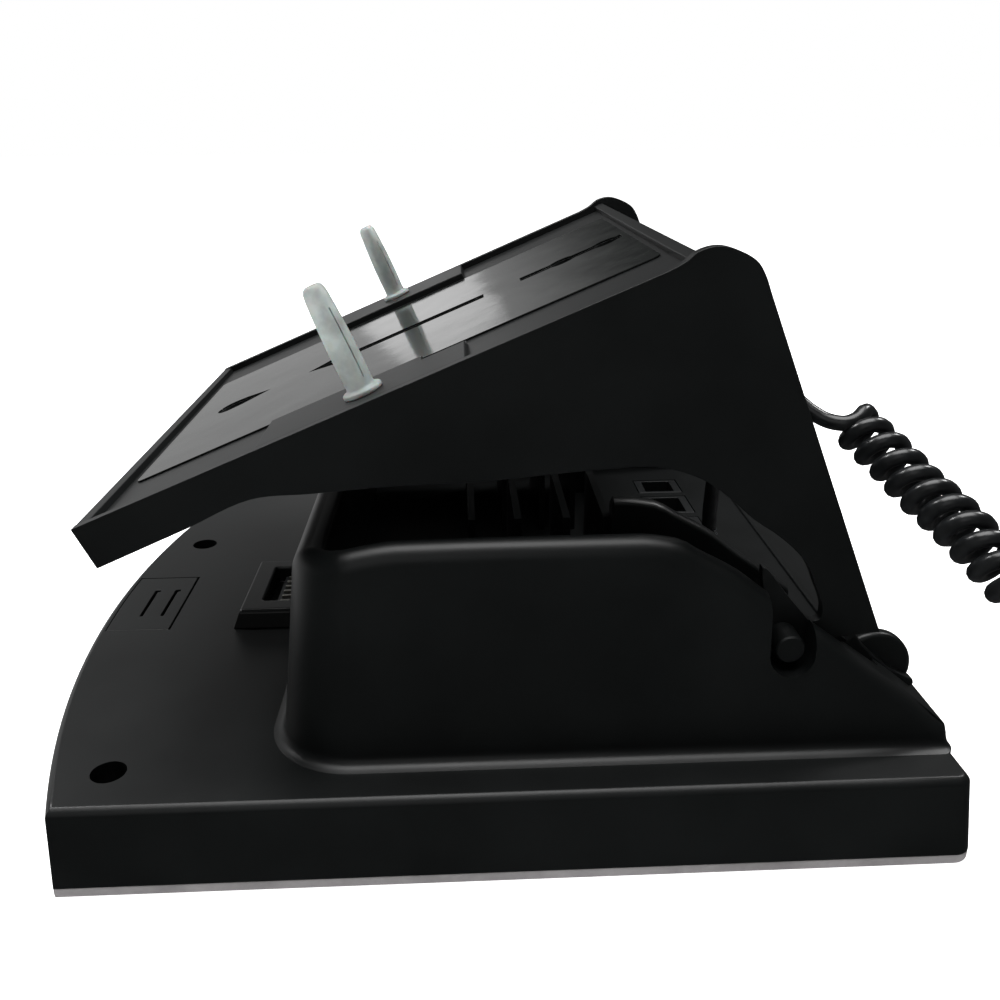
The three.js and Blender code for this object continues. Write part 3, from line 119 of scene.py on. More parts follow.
class PhoneFinish(bpy.types.PropertyGroup):
    """Colours and grain of the telephone's materials."""

    shell: FloatVectorProperty(
        name="Shell", description="Colour of the moulded black case",
        default=(0.0034, 0.0042, 0.0043), subtype="COLOR", size=3, min=0, max=1)
    trim: FloatVectorProperty(
        name="Bezel", description="Colour of the silver bezel", default=(0.36, 0.345, 0.35),
        subtype="COLOR", size=3, min=0, max=1)
    nylon: FloatVectorProperty(
        name="Wall plugs", description="Colour of the nylon wall plugs", default=(0.62, 0.68, 0.66),
        subtype="COLOR", size=3, min=0, max=1)
    grain: FloatProperty(
        name="Grain", description="Size of the moulded grain on the case", default=0.0007,
        unit="LENGTH", precision=5, min=0.0001)
    shell_roughness: FloatProperty(
        name="Shell roughness", description="How matt the case is", default=0.38,
        subtype="FACTOR", min=0, max=1)


class PhoneShape(bpy.types.PropertyGroup):
    """The rim's rounding and the cord's detail."""

    rim_radius: FloatProperty(
        name="Rim rounding", description="Rounding of the raised back's rim", default=0.005,
        unit="LENGTH", precision=5)
    cord_steps: IntProperty(
        name="Cord steps", description="Points in each curl of the cord", default=28,
        min=12, max=64)


# Mesh helpers


def new_object(name, mesh):
    piece = bpy.data.objects.new(name, mesh)
    bpy.context.scene.collection.objects.link(piece)
    return piece


def solid(name, verts, faces):
    mesh = bpy.data.meshes.new(name)
    mesh.from_pydata([tuple(v) for v in verts], [], faces)
    build = bmesh.new()
    build.from_mesh(mesh)
    bmesh.ops.remove_doubles(build, verts=build.verts, dist=0.002)
    bmesh.ops.recalc_face_normals(build, faces=build.faces)
    build.to_mesh(mesh)
    build.free()
    return new_object(name, mesh)


def place_point(x, y, at, along):
    return {"Z": (x, y, at), "Y": (x, at, y), "X": (at, x, y)}[along]


def skin(name, rings):
    """A closed solid from rings of points of equal count."""
    count = len(rings[0])
    faces = [tuple(range(count)), tuple((len(rings) - 1) * count + i for i in range(count))]
    for ring in range(len(rings) - 1):
        for i in range(count):
            a, b = ring * count + i, ring * count + (i + 1) % count
            faces.append((a, b, b + count, a + count))
    return solid(name, [point for ring in rings for point in ring], faces)


def stack(name, rings, along="Z"):
    """A closed solid from outlines of equal count, each given as (place, points)."""
    return skin(name, [[place_point(x, y, at, along) for x, y in points] for at, points in rings])


def prism(name, points, low, high, along="Z"):
    return stack(name, [(low, points), (high, points)], along)


def arc(cx, cy, radius, start, end, steps):
    angles = [start + (end - start) * i / steps for i in range(steps + 1)]
    return [(cx + radius * math.cos(a), cy + radius * math.sin(a)) for a in angles]


def disc(cx, cy, radius, sides=48):
    return arc(cx, cy, radius, 0, 2 * math.pi, sides)[:-1]


def rectangle(x0, x1, y0, y1):
    return [(x0, y0), (x1, y0), (x1, y1), (x0, y1)]


def rounded(x0, x1, y0, y1, radius, steps=6):
    q = math.pi / 2
    return (arc(x0 + radius, y0 + radius, radius, 2 * q, 3 * q, steps)
            + arc(x1 - radius, y0 + radius, radius, 3 * q, 4 * q, steps)
            + arc(x1 - radius, y1 - radius, radius, 0, q, steps)
            + arc(x0 + radius, y1 - radius, radius, q, 2 * q, steps))


def lathe(name, profile, sides=48, centre=(0, 0), along="Z"):
    """A turned solid. The profile is (radius, place) from one end of the axis to the other."""
    verts, faces = [], []
    for radius, at in profile:
        verts += [place_point(x, y, at, along) for x, y in disc(*centre, max(radius, 1e-4), sides)]
    for ring in range(len(profile) - 1):
        for i in range(sides):
            a, b = ring * sides + i, ring * sides + (i + 1) % sides
            faces.append((a, b, b + sides, a + sides))
    if profile[0] != profile[-1]:
        faces.append(tuple(range(sides)))
        faces.append(tuple((len(profile) - 1) * sides + i for i in range(sides)))
    return solid(name, verts, faces)


def evaluated(piece):
    """The piece with its modifiers made real."""
    graph = bpy.context.evaluated_depsgraph_get()
    mesh = bpy.data.meshes.new_from_object(piece.evaluated_get(graph))
    old = piece.data
    piece.modifiers.clear()
    piece.data = mesh
    if old.users == 0:
        bpy.data.meshes.remove(old)
    return piece


def discard(*pieces):
    for piece in pieces:
        mesh = piece.data
        bpy.data.objects.remove(piece)
        if mesh.users == 0:
            bpy.data.meshes.remove(mesh)


def joined(name, *pieces):
    """One object that holds all the pieces' meshes as they are."""
    build = bmesh.new()
    for piece in pieces:
        build.from_mesh(piece.data)
    mesh = bpy.data.meshes.new(name)
    build.to_mesh(mesh)
    build.free()
    discard(*pieces)
    return new_object(name, mesh)


def boolean(piece, tools, operation="DIFFERENCE"):
    for tool in tools:
        change = piece.modifiers.new("cut", "BOOLEAN")
        change.operation, change.solver, change.object = operation, "EXACT", tool
        evaluated(piece)
        discard(tool)
    return piece


def softened(piece, width, segments=3, angle=32):
    """Rounds every edge sharper than the angle, in degrees."""
    build = bmesh.new()
    build.from_mesh(piece.data)
    bmesh.ops.remove_doubles(build, verts=build.verts, dist=0.003)
    bmesh.ops.dissolve_limit(
        build, angle_limit=math.radians(0.6), verts=build.verts, edges=build.edges,
        use_dissolve_boundaries=False)
    build.to_mesh(piece.data)
    build.free()
    bevel = piece.modifiers.new("edges", "BEVEL")
    bevel.width, bevel.segments, bevel.limit_method = width, segments, "ANGLE"
    bevel.angle_limit = math.radians(angle)
    bevel.miter_outer = "MITER_ARC"
    return evaluated(piece)


def moved(piece, matrix):
    piece.data.transform(matrix)
    return piece


def mirrored(piece):
    """The piece and its mirror image across the telephone."""
    twin = new_object(piece.name + "_far", piece.data.copy())
    twin.data.transform(Matrix.Translation((0, CASE_WIDTH, 0)) @ Matrix.Scale(-1, 4, (0, 1, 0)))
    twin.data.flip_normals()
    return [piece, twin]


def dressed(piece, body, nodes, key, smooth=38):
    """Puts a finished piece in the row frame with its finish, in place of its nodes."""
    piece.data.transform(TO_ROW)
    piece.data.shade_smooth()
    piece.data.set_sharp_from_angle(angle=math.radians(smooth))
    if not piece.data.materials:
        piece.data.materials.append(finish_of(key))
    weigh = piece.modifiers.new("normals", "WEIGHTED_NORMAL")
    weigh.keep_sharp = True
    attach(piece, body)
    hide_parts(*nodes)
    return piece


def node_copy(name, node):
    """A merged copy of a CAD node's mesh, in millimetres in the maker's frame."""
    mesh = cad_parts[node].data.copy()
    mesh.materials.clear()
    mesh.transform(TO_ROW.inverted())
    build = bmesh.new()
    build.from_mesh(mesh)
    bmesh.ops.remove_doubles(build, verts=build.verts, dist=0.002)
    build.to_mesh(mesh)
    build.free()
    for layer in [a.name for a in mesh.attributes if a.domain == "CORNER" and not a.is_required]:
        mesh.attributes.remove(mesh.attributes[layer])
    return new_object(name, mesh)


def finished_node(node, key, width):
    """A CAD node with its edges rounded, as a piece of the same form on the telephone."""
    piece = softened(node_copy(node + "_made", node), width, 2)
    return dressed(piece, BASE, [node], key)


# Materials


def material_nodes(name):
    material = bpy.data.materials.new(name)
    material.use_nodes = True
    nodes, links = material.node_tree.nodes, material.node_tree.links
    shader = nodes["Principled BSDF"]
    place = nodes.new("ShaderNodeTexCoord")
    return material, nodes, links, shader, place


def noise(nodes, links, place, scale, detail, roughness):
    made = nodes.new("ShaderNodeTexNoise")
    made.inputs["Scale"].default_value = scale
    made.inputs["Detail"].default_value = detail
    made.inputs["Roughness"].default_value = roughness
    links.new(place.outputs["Object"], made.inputs["Vector"])
    return made


def ramp(nodes, links, source, low, high):
    made = nodes.new("ShaderNodeValToRGB")
    for stop, place, colour in zip(made.color_ramp.elements, (0.35, 0.65), (low, high)):
        stop.position, stop.color = place, (*colour, 1)
    links.new(source, made.inputs["Fac"])
    return made


def spread(nodes, links, source, low, high):
    made = nodes.new("ShaderNodeMapRange")
    made.inputs["To Min"].default_value, made.inputs["To Max"].default_value = low, high
    links.new(source, made.inputs["Value"])
    return made


def bump(nodes, links, source, strength, distance, under=None):
    made = nodes.new("ShaderNodeBump")
    made.inputs["Strength"].default_value = strength
    made.inputs["Distance"].default_value = distance
    links.new(source, made.inputs["Height"])
    if under:
        links.new(under.outputs["Normal"], made.inputs["Normal"])
    return made


def shade(colour, factor):
    return tuple(min(1.0, c * factor) for c in colour)


def grained(name, pattern, dark, light, gloss, reliefs=(), constants=()):
    """A skin whose colour, roughness and relief follow noise.

    A pattern is (scale, detail, roughness). Each relief is (pattern, strength, distance)
    and lies on the one before it. The constants are (socket, value).
    """
    material, nodes, links, shader, place = material_nodes(name)
    cloud = noise(nodes, links, place, *pattern)
    tone = ramp(nodes, links, cloud.outputs["Fac"], dark, light)
    links.new(tone.outputs["Color"], shader.inputs["Base Color"])
    sheen = spread(nodes, links, cloud.outputs["Fac"], *gloss)
    links.new(sheen.outputs["Result"], shader.inputs["Roughness"])
    under = None
    for shape, strength, distance in reliefs:
        source = cloud if shape == pattern else noise(nodes, links, place, *shape)
        under = bump(nodes, links, source.outputs["Fac"], strength, distance, under)
    if under:
        links.new(under.outputs["Normal"], shader.inputs["Normal"])
    for socket, value in constants:
        shader.inputs[socket].default_value = value
    return material


def moulded(name, colour, roughness, grain, strength=0.18):
    """Spark eroded plastic: fine grain, cloudy sheen and slightly rubbed high spots."""
    return grained(name, (28, 4, 0.55), shade(colour, 0.82), shade(colour, 1.25),
                   (roughness - 0.06, roughness + 0.07),
                   [((0.6 / grain, 2, 0.7), strength, grain * 0.12)])


def glossy_film():
    """Polished black plate with a slightly wavy skin and faint handling marks."""
    smear = (160, 5, 0.65)
    return grained("black film", smear, (0.006, 0.007, 0.007), (0.016, 0.018, 0.017), (0.04, 0.16),
                   [((26, 1.5, 0.55), 0.5, 0.0009), (smear, 0.12, 0.0002)])


def lacquered_trim(colour):
    """Silver lacquer with fine flake and a few scuffs."""
    return grained("silver trim", (60, 6, 0.7), shade(colour, 0.86), shade(colour, 1.16),
                   (0.3, 0.5), [((1400, 2, 0.8), 0.1, 0.0001)], [("Metallic", 0.35)])


def translucent_nylon(colour):
    """Milky nylon that lets light through, with flow marks."""
    flow = (240, 3, 0.55)
    return grained("wall plug nylon", flow, shade(colour, 0.8), shade(colour, 1.12), (0.28, 0.45),
                   [(flow, 0.2, 0.0003)],
                   [("Transmission Weight", 0.35), ("Subsurface Weight", 0.25),
                    ("Subsurface Scale", 0.003), ("IOR", 1.45)])


def cord_skin():
    """Soft glossy black sheath with faint drag marks."""
    drag = (420, 4, 0.6)
    return grained("cord sheath", drag, (0.006, 0.0065, 0.007), (0.013, 0.014, 0.015), (0.24, 0.36),
                   [(drag, 0.1, 0.0002)], [("Coat Weight", 0.25), ("Coat Roughness", 0.2)])


def plated_metal(name, colour, roughness):
    """Plated metal with a brushed bloom."""
    return grained(name, (900, 4, 0.7), shade(colour, 0.8), shade(colour, 1.15),
                   (roughness - 0.08, roughness + 0.1), constants=[("Metallic", 1.0)])


def display_glass():
    """Smoked clear window over a dark display."""
    return grained("display glass", (90, 5, 0.55), (0.012, 0.016, 0.02), (0.02, 0.026, 0.03),
                   (0.03, 0.1), constants=[("Coat Weight", 0.8)])


def clear_plug():
    """Smoky clear plug moulding."""
    return grained("plug moulding", (300, 3, 0.55), (0.02, 0.022, 0.024), (0.05, 0.054, 0.058),
                   (0.12, 0.25))


def circuit_board():
    """Green solder mask over a web of tracks."""
    material, nodes, links, shader, place = material_nodes("circuit board")
    tracks = nodes.new("ShaderNodeTexBrick")
    for socket, value in (("Scale", 120), ("Mortar Size", 0.03), ("Color1", (0.01, 0.09, 0.03, 1)),
                          ("Color2", (0.012, 0.11, 0.04, 1)), ("Mortar", (0.03, 0.2, 0.08, 1))):
        tracks.inputs[socket].default_value = value
    links.new(place.outputs["Object"], tracks.inputs["Vector"])
    links.new(tracks.outputs["Color"], shader.inputs["Base Color"])
    relief = bump(nodes, links, tracks.outputs["Fac"], 0.3, 0.0001)
    links.new(relief.outputs["Normal"], shader.inputs["Normal"])
    shader.inputs["Roughness"].default_value = 0.35
    return material


MATERIALS = {}


def finish_of(key):
    """The material of that name, made once."""
    if key in MATERIALS:
        return MATERIALS[key]
    look = bpy.context.scene.phone_finish
    shell, grain, matt = tuple(look.shell), look.grain, look.shell_roughness
    makers = {
        "shell": (moulded, "black shell", shell, matt, grain),
        "stand": (moulded, "black stand", shade(shell, 0.9), matt + 0.04, grain),
        "film": (glossy_film,),
        "trim": (lacquered_trim, tuple(look.trim)),
        "nylon": (translucent_nylon, tuple(look.nylon)),
        "cord": (cord_skin,),
        "steel": (plated_metal, "zinc plated steel", (0.5, 0.5, 0.52), 0.35),
        "gold": (plated_metal, "plated contacts", (0.42, 0.41, 0.37), 0.3),
        "key": (moulded, "key plastic", (0.02, 0.021, 0.023), 0.5, grain * 0.7, 0.1),
        "mark": (moulded, "key marking", (0.7, 0.7, 0.7), 0.5, grain, 0.05),
        "rubber": (moulded, "rubber mat", (0.04, 0.043, 0.046), 0.75, grain, 0.2),
        "socket": (moulded, "socket plastic", (0.008, 0.009, 0.0095), 0.42, grain, 0.1),
        "board": (circuit_board,),
        "glass": (display_glass,),
        "plug": (clear_plug,),
    }
    maker, *given = makers[key]
    MATERIALS[key] = maker(*given)
    return MATERIALS[key]


# Curves and outlines of the telephone


def blend(p1, m1, p2, m2, t):
    """The cubic from p1 to p2 that leaves and arrives with the slopes m1 and m2."""
    return ((2 * t ** 3 - 3 * t * t + 1) * p1 + (t ** 3 - 2 * t * t + t) * m1
            + (3 * t * t - 2 * t ** 3) * p2 + (t ** 3 - t * t) * m2)


def bend(before, here, after, span):
    """The slope at a point of a centripetal curve, for a stretch of that span."""
    d0, d1 = (max((b - a).length ** 0.5, 1e-4) for a, b in ((before, here), (here, after)))
    return ((here - before) / d0 - (after - before) / (d0 + d1) + (after - here) / d1) * span


def hermite(points, x):
    """A smooth line through points that rise in their first number."""
    spot = max(1, next((i for i, p in enumerate(points) if p[0] >= x), len(points) - 1))
    (x0, y0), (x1, y1) = points[spot - 1], points[spot]

    def slope(i):
        if i == 0:
            return (points[1][1] - points[0][1]) / (points[1][0] - points[0][0])
        if i == len(points) - 1:
            return 0.0
        left = (points[i][1] - points[i - 1][1]) / (points[i][0] - points[i - 1][0])
        right = (points[i + 1][1] - points[i][1]) / (points[i + 1][0] - points[i][0])
        return 0.0 if left * right <= 0 else 2 * left * right / (left + right)

    width = x1 - x0
    t = min(max((x - x0) / width, 0), 1)
    return blend(y0, slope(spot - 1) * width, y1, slope(spot) * width, t)


def rim_height(x):
    return hermite(RIM, x)


BOW_RADIUS = (BOW_DEPTH ** 2 + (CASE_WIDTH / 2) ** 2) / (2 * BOW_DEPTH)


def bow_x(y, inset):
    return BOW_RADIUS - BOW_DEPTH - math.sqrt((BOW_RADIUS - inset) ** 2 - (y - CASE_WIDTH / 2) ** 2)


def bow_line(start, end, inset, steps):
    return [(bow_x(start + (end - start) * i / steps, inset), start + (end - start) * i / steps)
            for i in range(steps + 1)]


def case_outline(inset, foot_draft=0.0):
    corner = max(CASE_CORNER - inset, 0.4)
    right = CASE_LENGTH - inset - foot_draft - corner
    q = math.pi / 2
    return (arc(right, inset + corner, corner, -q, 0, 8)
            + arc(right, CASE_WIDTH - inset - corner, corner, 0, q, 8)
            + bow_line(CASE_WIDTH - inset, inset, inset, 56))


def smooth_outline(points, corners, steps=6):
    """The outline with its soft points turned into curves; the numbered corners stay sharp."""
    corner = [Vector(p) for p in points]
    count, line = len(points), []
    for i in range(count):
        end = (i + 1) % count
        p0, p1, p2, p3 = (corner[(i + k) % count] for k in (-1, 0, 1, 2))
        span = (p2 - p1).length ** 0.5
        m1 = p2 - p1 if i in corners else bend(p0, p1, p2, span)
        m2 = p2 - p1 if end in corners else bend(p1, p2, p3, span)
        for step in range(1 if i in corners and end in corners else steps):
            line.append(tuple(blend(p1, m1, p2, m2, step / steps)))
    return line


def centripetal(points):
    """Points along the same curve that the CAD source draws through its own points."""
    spots = [Vector(p) for p in points]
    spots = [2 * spots[0] - spots[1], *spots, 2 * spots[-1] - spots[-2]]
    line = []
    for p0, p1, p2, p3 in zip(spots, spots[1:], spots[2:], spots[3:]):
        span = (p2 - p1).length ** 0.5
        m1, m2 = bend(p0, p1, p2, span), bend(p1, p2, p3, span)
        line += [blend(p1, m1, p2, m2, step / CURVE_STEPS) for step in range(CURVE_STEPS)]
    line.append(spots[-2].copy())
    return line


def line_length(line):
    return sum((b - a).length for a, b in zip(line, line[1:]))


def resampled(line, count):
    """The line in equal steps, with its direction at each."""
    marks = [0.0]
    for a, b in zip(line, line[1:]):
        marks.append(marks[-1] + (b - a).length)
    made, spot = [], 0
    for i in range(count + 1):
        want = marks[-1] * i / count
        while spot < len(marks) - 2 and marks[spot + 1] < want:
            spot += 1
        share = (want - marks[spot]) / max(marks[spot + 1] - marks[spot], 1e-9)
        ahead = (line[spot + 1] - line[spot]).normalized()
        made.append((line[spot].lerp(line[spot + 1], share), ahead))
    return made


def smooth_step(value):
    value = min(max(value, 0), 1)
    return value * value * (3 - 2 * value)


# Operators


class PHONE_OT_camera(bpy.types.Operator):
    """Puts the camera where the photograph was taken from"""

    bl_idname = "phone.camera"
    bl_label = "Camera"

    def execute(self, context):
        data = bpy.data.cameras.new("view")
        data.sensor_width, data.lens = 36, 34.564
        data.clip_start, data.clip_end = 0.01, 20
        camera = bpy.data.objects.new("view", data)
        context.scene.collection.objects.link(camera)
        right = Vector((0.99901884, -0.0435466, -0.00806575))
        up = Vector((0.02320268, 0.35951807, 0.93284961))
        ahead = Vector((0.03772264, 0.93212148, -0.36017572))
        turn = Matrix((right, up, -ahead)).transposed().to_4x4()
        spot = TO_ROW @ Vector((102.939, -190.110, 176.170))
        camera.matrix_world = Matrix.Translation(spot) @ turn
        context.scene.camera = camera
        return {"FINISHED"}


class PHONE_OT_cord(bpy.types.Operator):
    """Makes the cord's two plugs and winds the curly cord between them"""

    bl_idname = "phone.cord"
    bl_label = "Curly cord"

    def execute(self, context):
        line = self.path(context.scene.phone_shape.cord_steps)
        curve = bpy.data.curves.new("curly_cord_made", "CURVE")
        curve.dimensions, curve.bevel_depth, curve.bevel_resolution = "3D", WIRE / 2 * MM, 4
        curve.use_fill_caps = True
        spline = curve.splines.new("POLY")
        spline.points.add(len(line) - 1)
        for point, target in zip(spline.points, line):
            point.co = (*(TO_ROW @ target), 1)
        cord = bpy.data.objects.new("curly_cord_made", curve)
        context.scene.collection.objects.link(cord)
        curve.materials.append(finish_of("cord"))
        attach(cord, BASE)
        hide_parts("curly_cord", "cord_tail_at_phone", "cord_tail_at_handset")
        self.plugs()
        return {"FINISHED"}

    def path(self, steps):
        """Points along the cord: its end at the telephone, the curls and its other end."""
        axis = centripetal(CORD_AXIS)
        length = line_length(axis)
        wound = length - CURL_START - WIRE
        curls = round(wound / CURL_PITCH)
        marks = 2000
        walk = resampled(axis, marks)
        coil = []
        for step in range(curls * steps + 1):
            turns = step / steps
            share = (CURL_START + wound * turns / curls) / length
            point, ahead = walk[min(round(share * marks), marks)]
            side = Vector(CURL_LEAN)
            side = (side - ahead * side.dot(ahead)).normalized()
            angle = math.pi * (2 * turns + CURL_TURN)
            out = math.cos(angle) * side + math.sin(angle) * side.cross(ahead)
            out *= CURL_RADIUS * smooth_step((curls - turns) / 0.9)
            coil.append(point + out + ahead * CURL_SKEW * out.dot(side))
        start = centripetal([*PHONE_TAIL, coil[0], coil[4]])
        line = [p for p, _ in resampled(start[:-CURVE_STEPS], 90)][:-1] + coil
        tail = centripetal([CORD_AXIS[-2], CORD_AXIS[-1], *HANDSET_TAIL])
        spot = min(range(len(tail)), key=lambda i: (tail[i] - Vector(CORD_AXIS[-1])).length)
        return line + [p for p, _ in resampled(tail[spot:], 24)]

    def plugs(self):
        """The two clear plugs, each a block with a ribbed boot."""
        profile = [(0, 13.9), (3.3, 13.9)]
        for ring in range(3):
            radius, start = 3.4 - ring / 3, 14 + 4 * ring
            profile += [(radius, start + 0.2), (radius, start + 2.4), (radius - 0.5, start + 2.7),
                        (radius - 0.5, start + 3.7)]
        profile += [(2.4, 26), (0, 26)]
        made = []
        for node, spot, angle in (("cord_plug_at_phone", (176, 72, 38.3), 0),
                                  ("cord_plug_at_handset", (171, HANDSET_Y, 10), math.pi / 2)):
            block = softened(prism("block", rectangle(-3.2, 3.2, -3.7, 3.7), 0, 14), 0.35, 2)
            plug = joined(node + "_made", block, lathe("boot", profile, 40))
            moved(plug, Matrix.Translation(spot) @ Matrix.Rotation(angle, 4, "Y"))
            made.append(dressed(plug, BASE, [node], "plug"))
        return made


def block_outline():
    """Points round the raised back as (x, y, normal x, normal y, inner x, inner y)."""
    made = []
    near, left, right, corner, end_corner = 15.0, 53.0, 228.4, 20.0, 2.5
    inner_near, inner_left, inner_right, inner_corner = 25.5, 68.0, 200.0, 4.0
    q = math.pi / 2

    def inner(x, y):
        return (min(max(x, inner_left), inner_right),
                min(max(y, inner_near), CASE_WIDTH - inner_near))

    def turn(cx, cy, radius, angles, inner_x, inner_y, inner_radius=0):
        for angle in angles:
            nx, ny = math.cos(angle), math.sin(angle)
            made.append((cx + radius * nx, cy + radius * ny, nx, ny,
                         inner_x + inner_radius * nx, inner_y + inner_radius * ny))

    steps = 58
    for i in range(steps + 1):
        x = right - end_corner + (left + corner - right + end_corner) * i / steps
        made.append((x, near, 0, -1, *inner(max(x, inner_left + inner_corner), near)))
    turn(left + corner, near + corner, corner, [-q - q * i / 12 for i in range(1, 13)],
         inner_left + inner_corner, inner_near + inner_corner, inner_corner)
    for i in range(1, 15):
        y = near + corner + (CASE_WIDTH / 2 - near - corner) * i / 14
        made.append((left, y, -1, 0, inner_left, max(y, inner_near + inner_corner)))
    for x, y, nx, ny, ix, iy in reversed(made[:-1]):
        made.append((x, CASE_WIDTH - y, nx, -ny, ix, CASE_WIDTH - iy))
    turn(right - end_corner, CASE_WIDTH - near - end_corner, end_corner,
         [q - q * i / 6 for i in range(1, 7)], inner_right, CASE_WIDTH - inner_near)
    for i in range(1, 20):
        y = CASE_WIDTH - near - end_corner + (2 * near + 2 * end_corner - CASE_WIDTH) * i / 20
        made.append((right, y, 1, 0, *inner(inner_right, y)))
    turn(right - end_corner, near + end_corner, end_corner, [-q * i / 6 for i in range(6)],
         inner_right, inner_near)
    return made


def raised_back(rim_radius):
    """The raised back as one skin: fillet, leaning wall, rounded rim, land and bay wall."""
    foot, fillet_height, inner_radius, floor = 24.0, 3.4, 1.5, 40.0
    side_draft, left_draft, right_draft = 5 / 58.6, 7 / 58.6, 0.25

    def column(x, y, nx, ny, ix, iy):
        draft = side_draft * abs(ny) + (left_draft * abs(nx) if nx < 0 else right_draft * nx)
        fillet_reach = 3.0 - 2.7 * max(nx, 0)
        rounding = rim_radius + (1.2 - rim_radius) * max(nx, 0)
        top = rim_height(x)
        for _ in range(4):
            lift = max(top - CASE_TOP, 1)
            top = rim_height(x - nx * (draft * lift + rounding * 0.5))
        round_r = min(rounding, (top - CASE_TOP) * 0.6)
        fillet_top = min(fillet_height, (top - CASE_TOP - round_r) * 0.8 + 0.2)
        points = [(x + nx * fillet_reach, y + ny * fillet_reach, foot)]
        for s in range(0, 7):
            share = s / 6
            out = fillet_reach * (1 - share) ** 2.2 - draft * fillet_top * share
            height = CASE_TOP + fillet_top * share * share * 0.6 + fillet_top * share * 0.4
            points.append((x + nx * out, y + ny * out, height))
        low, high = CASE_TOP + fillet_top, top - round_r
        for s in range(1, 5):
            z = low + (high - low) * s / 4
            lean = draft * (z - CASE_TOP)
            points.append((x - nx * lean, y - ny * lean, z))
        inset = draft * (high - CASE_TOP)
        rise = rim_height(x - nx * (inset + round_r)) - top
        for s in range(1, 9):
            angle = math.pi / 2 * s / 8
            inwards, upwards = round_r * (1 - math.cos(angle)), round_r * math.sin(angle)
            d = inset + inwards + draft * upwards * (1 - s / 8)
            points.append((x - nx * d, y - ny * d,
                           top + rise * s / 8 - round_r * (1 - math.sin(angle))))
        ox, oy, _ = points[-1]
        gap = max(math.hypot(ix - ox, iy - oy), 1e-3)
        ex, ey = (ix - ox) / gap, (iy - oy) / gap
        land = gap - inner_radius
        for share in (0.15, 0.4, 0.7, 1.0):
            px, py = ox + ex * land * share, oy + ey * land * share
            points.append((px, py, rim_height(px)))
        for s in range(1, 6):
            angle = math.pi / 2 * s / 5
            d = land + inner_radius * math.sin(angle)
            px, py = ox + ex * d, oy + ey * d
            points.append((px, py, rim_height(px) - inner_radius * (1 - math.cos(angle))))
        rim_z = points[-1][2]
        for share in (0.3, 1.0):
            points.append((ix, iy, rim_z + (floor - rim_z) * share))
        return points

    return skin("raised_back", list(zip(*(column(*p) for p in block_outline()))))


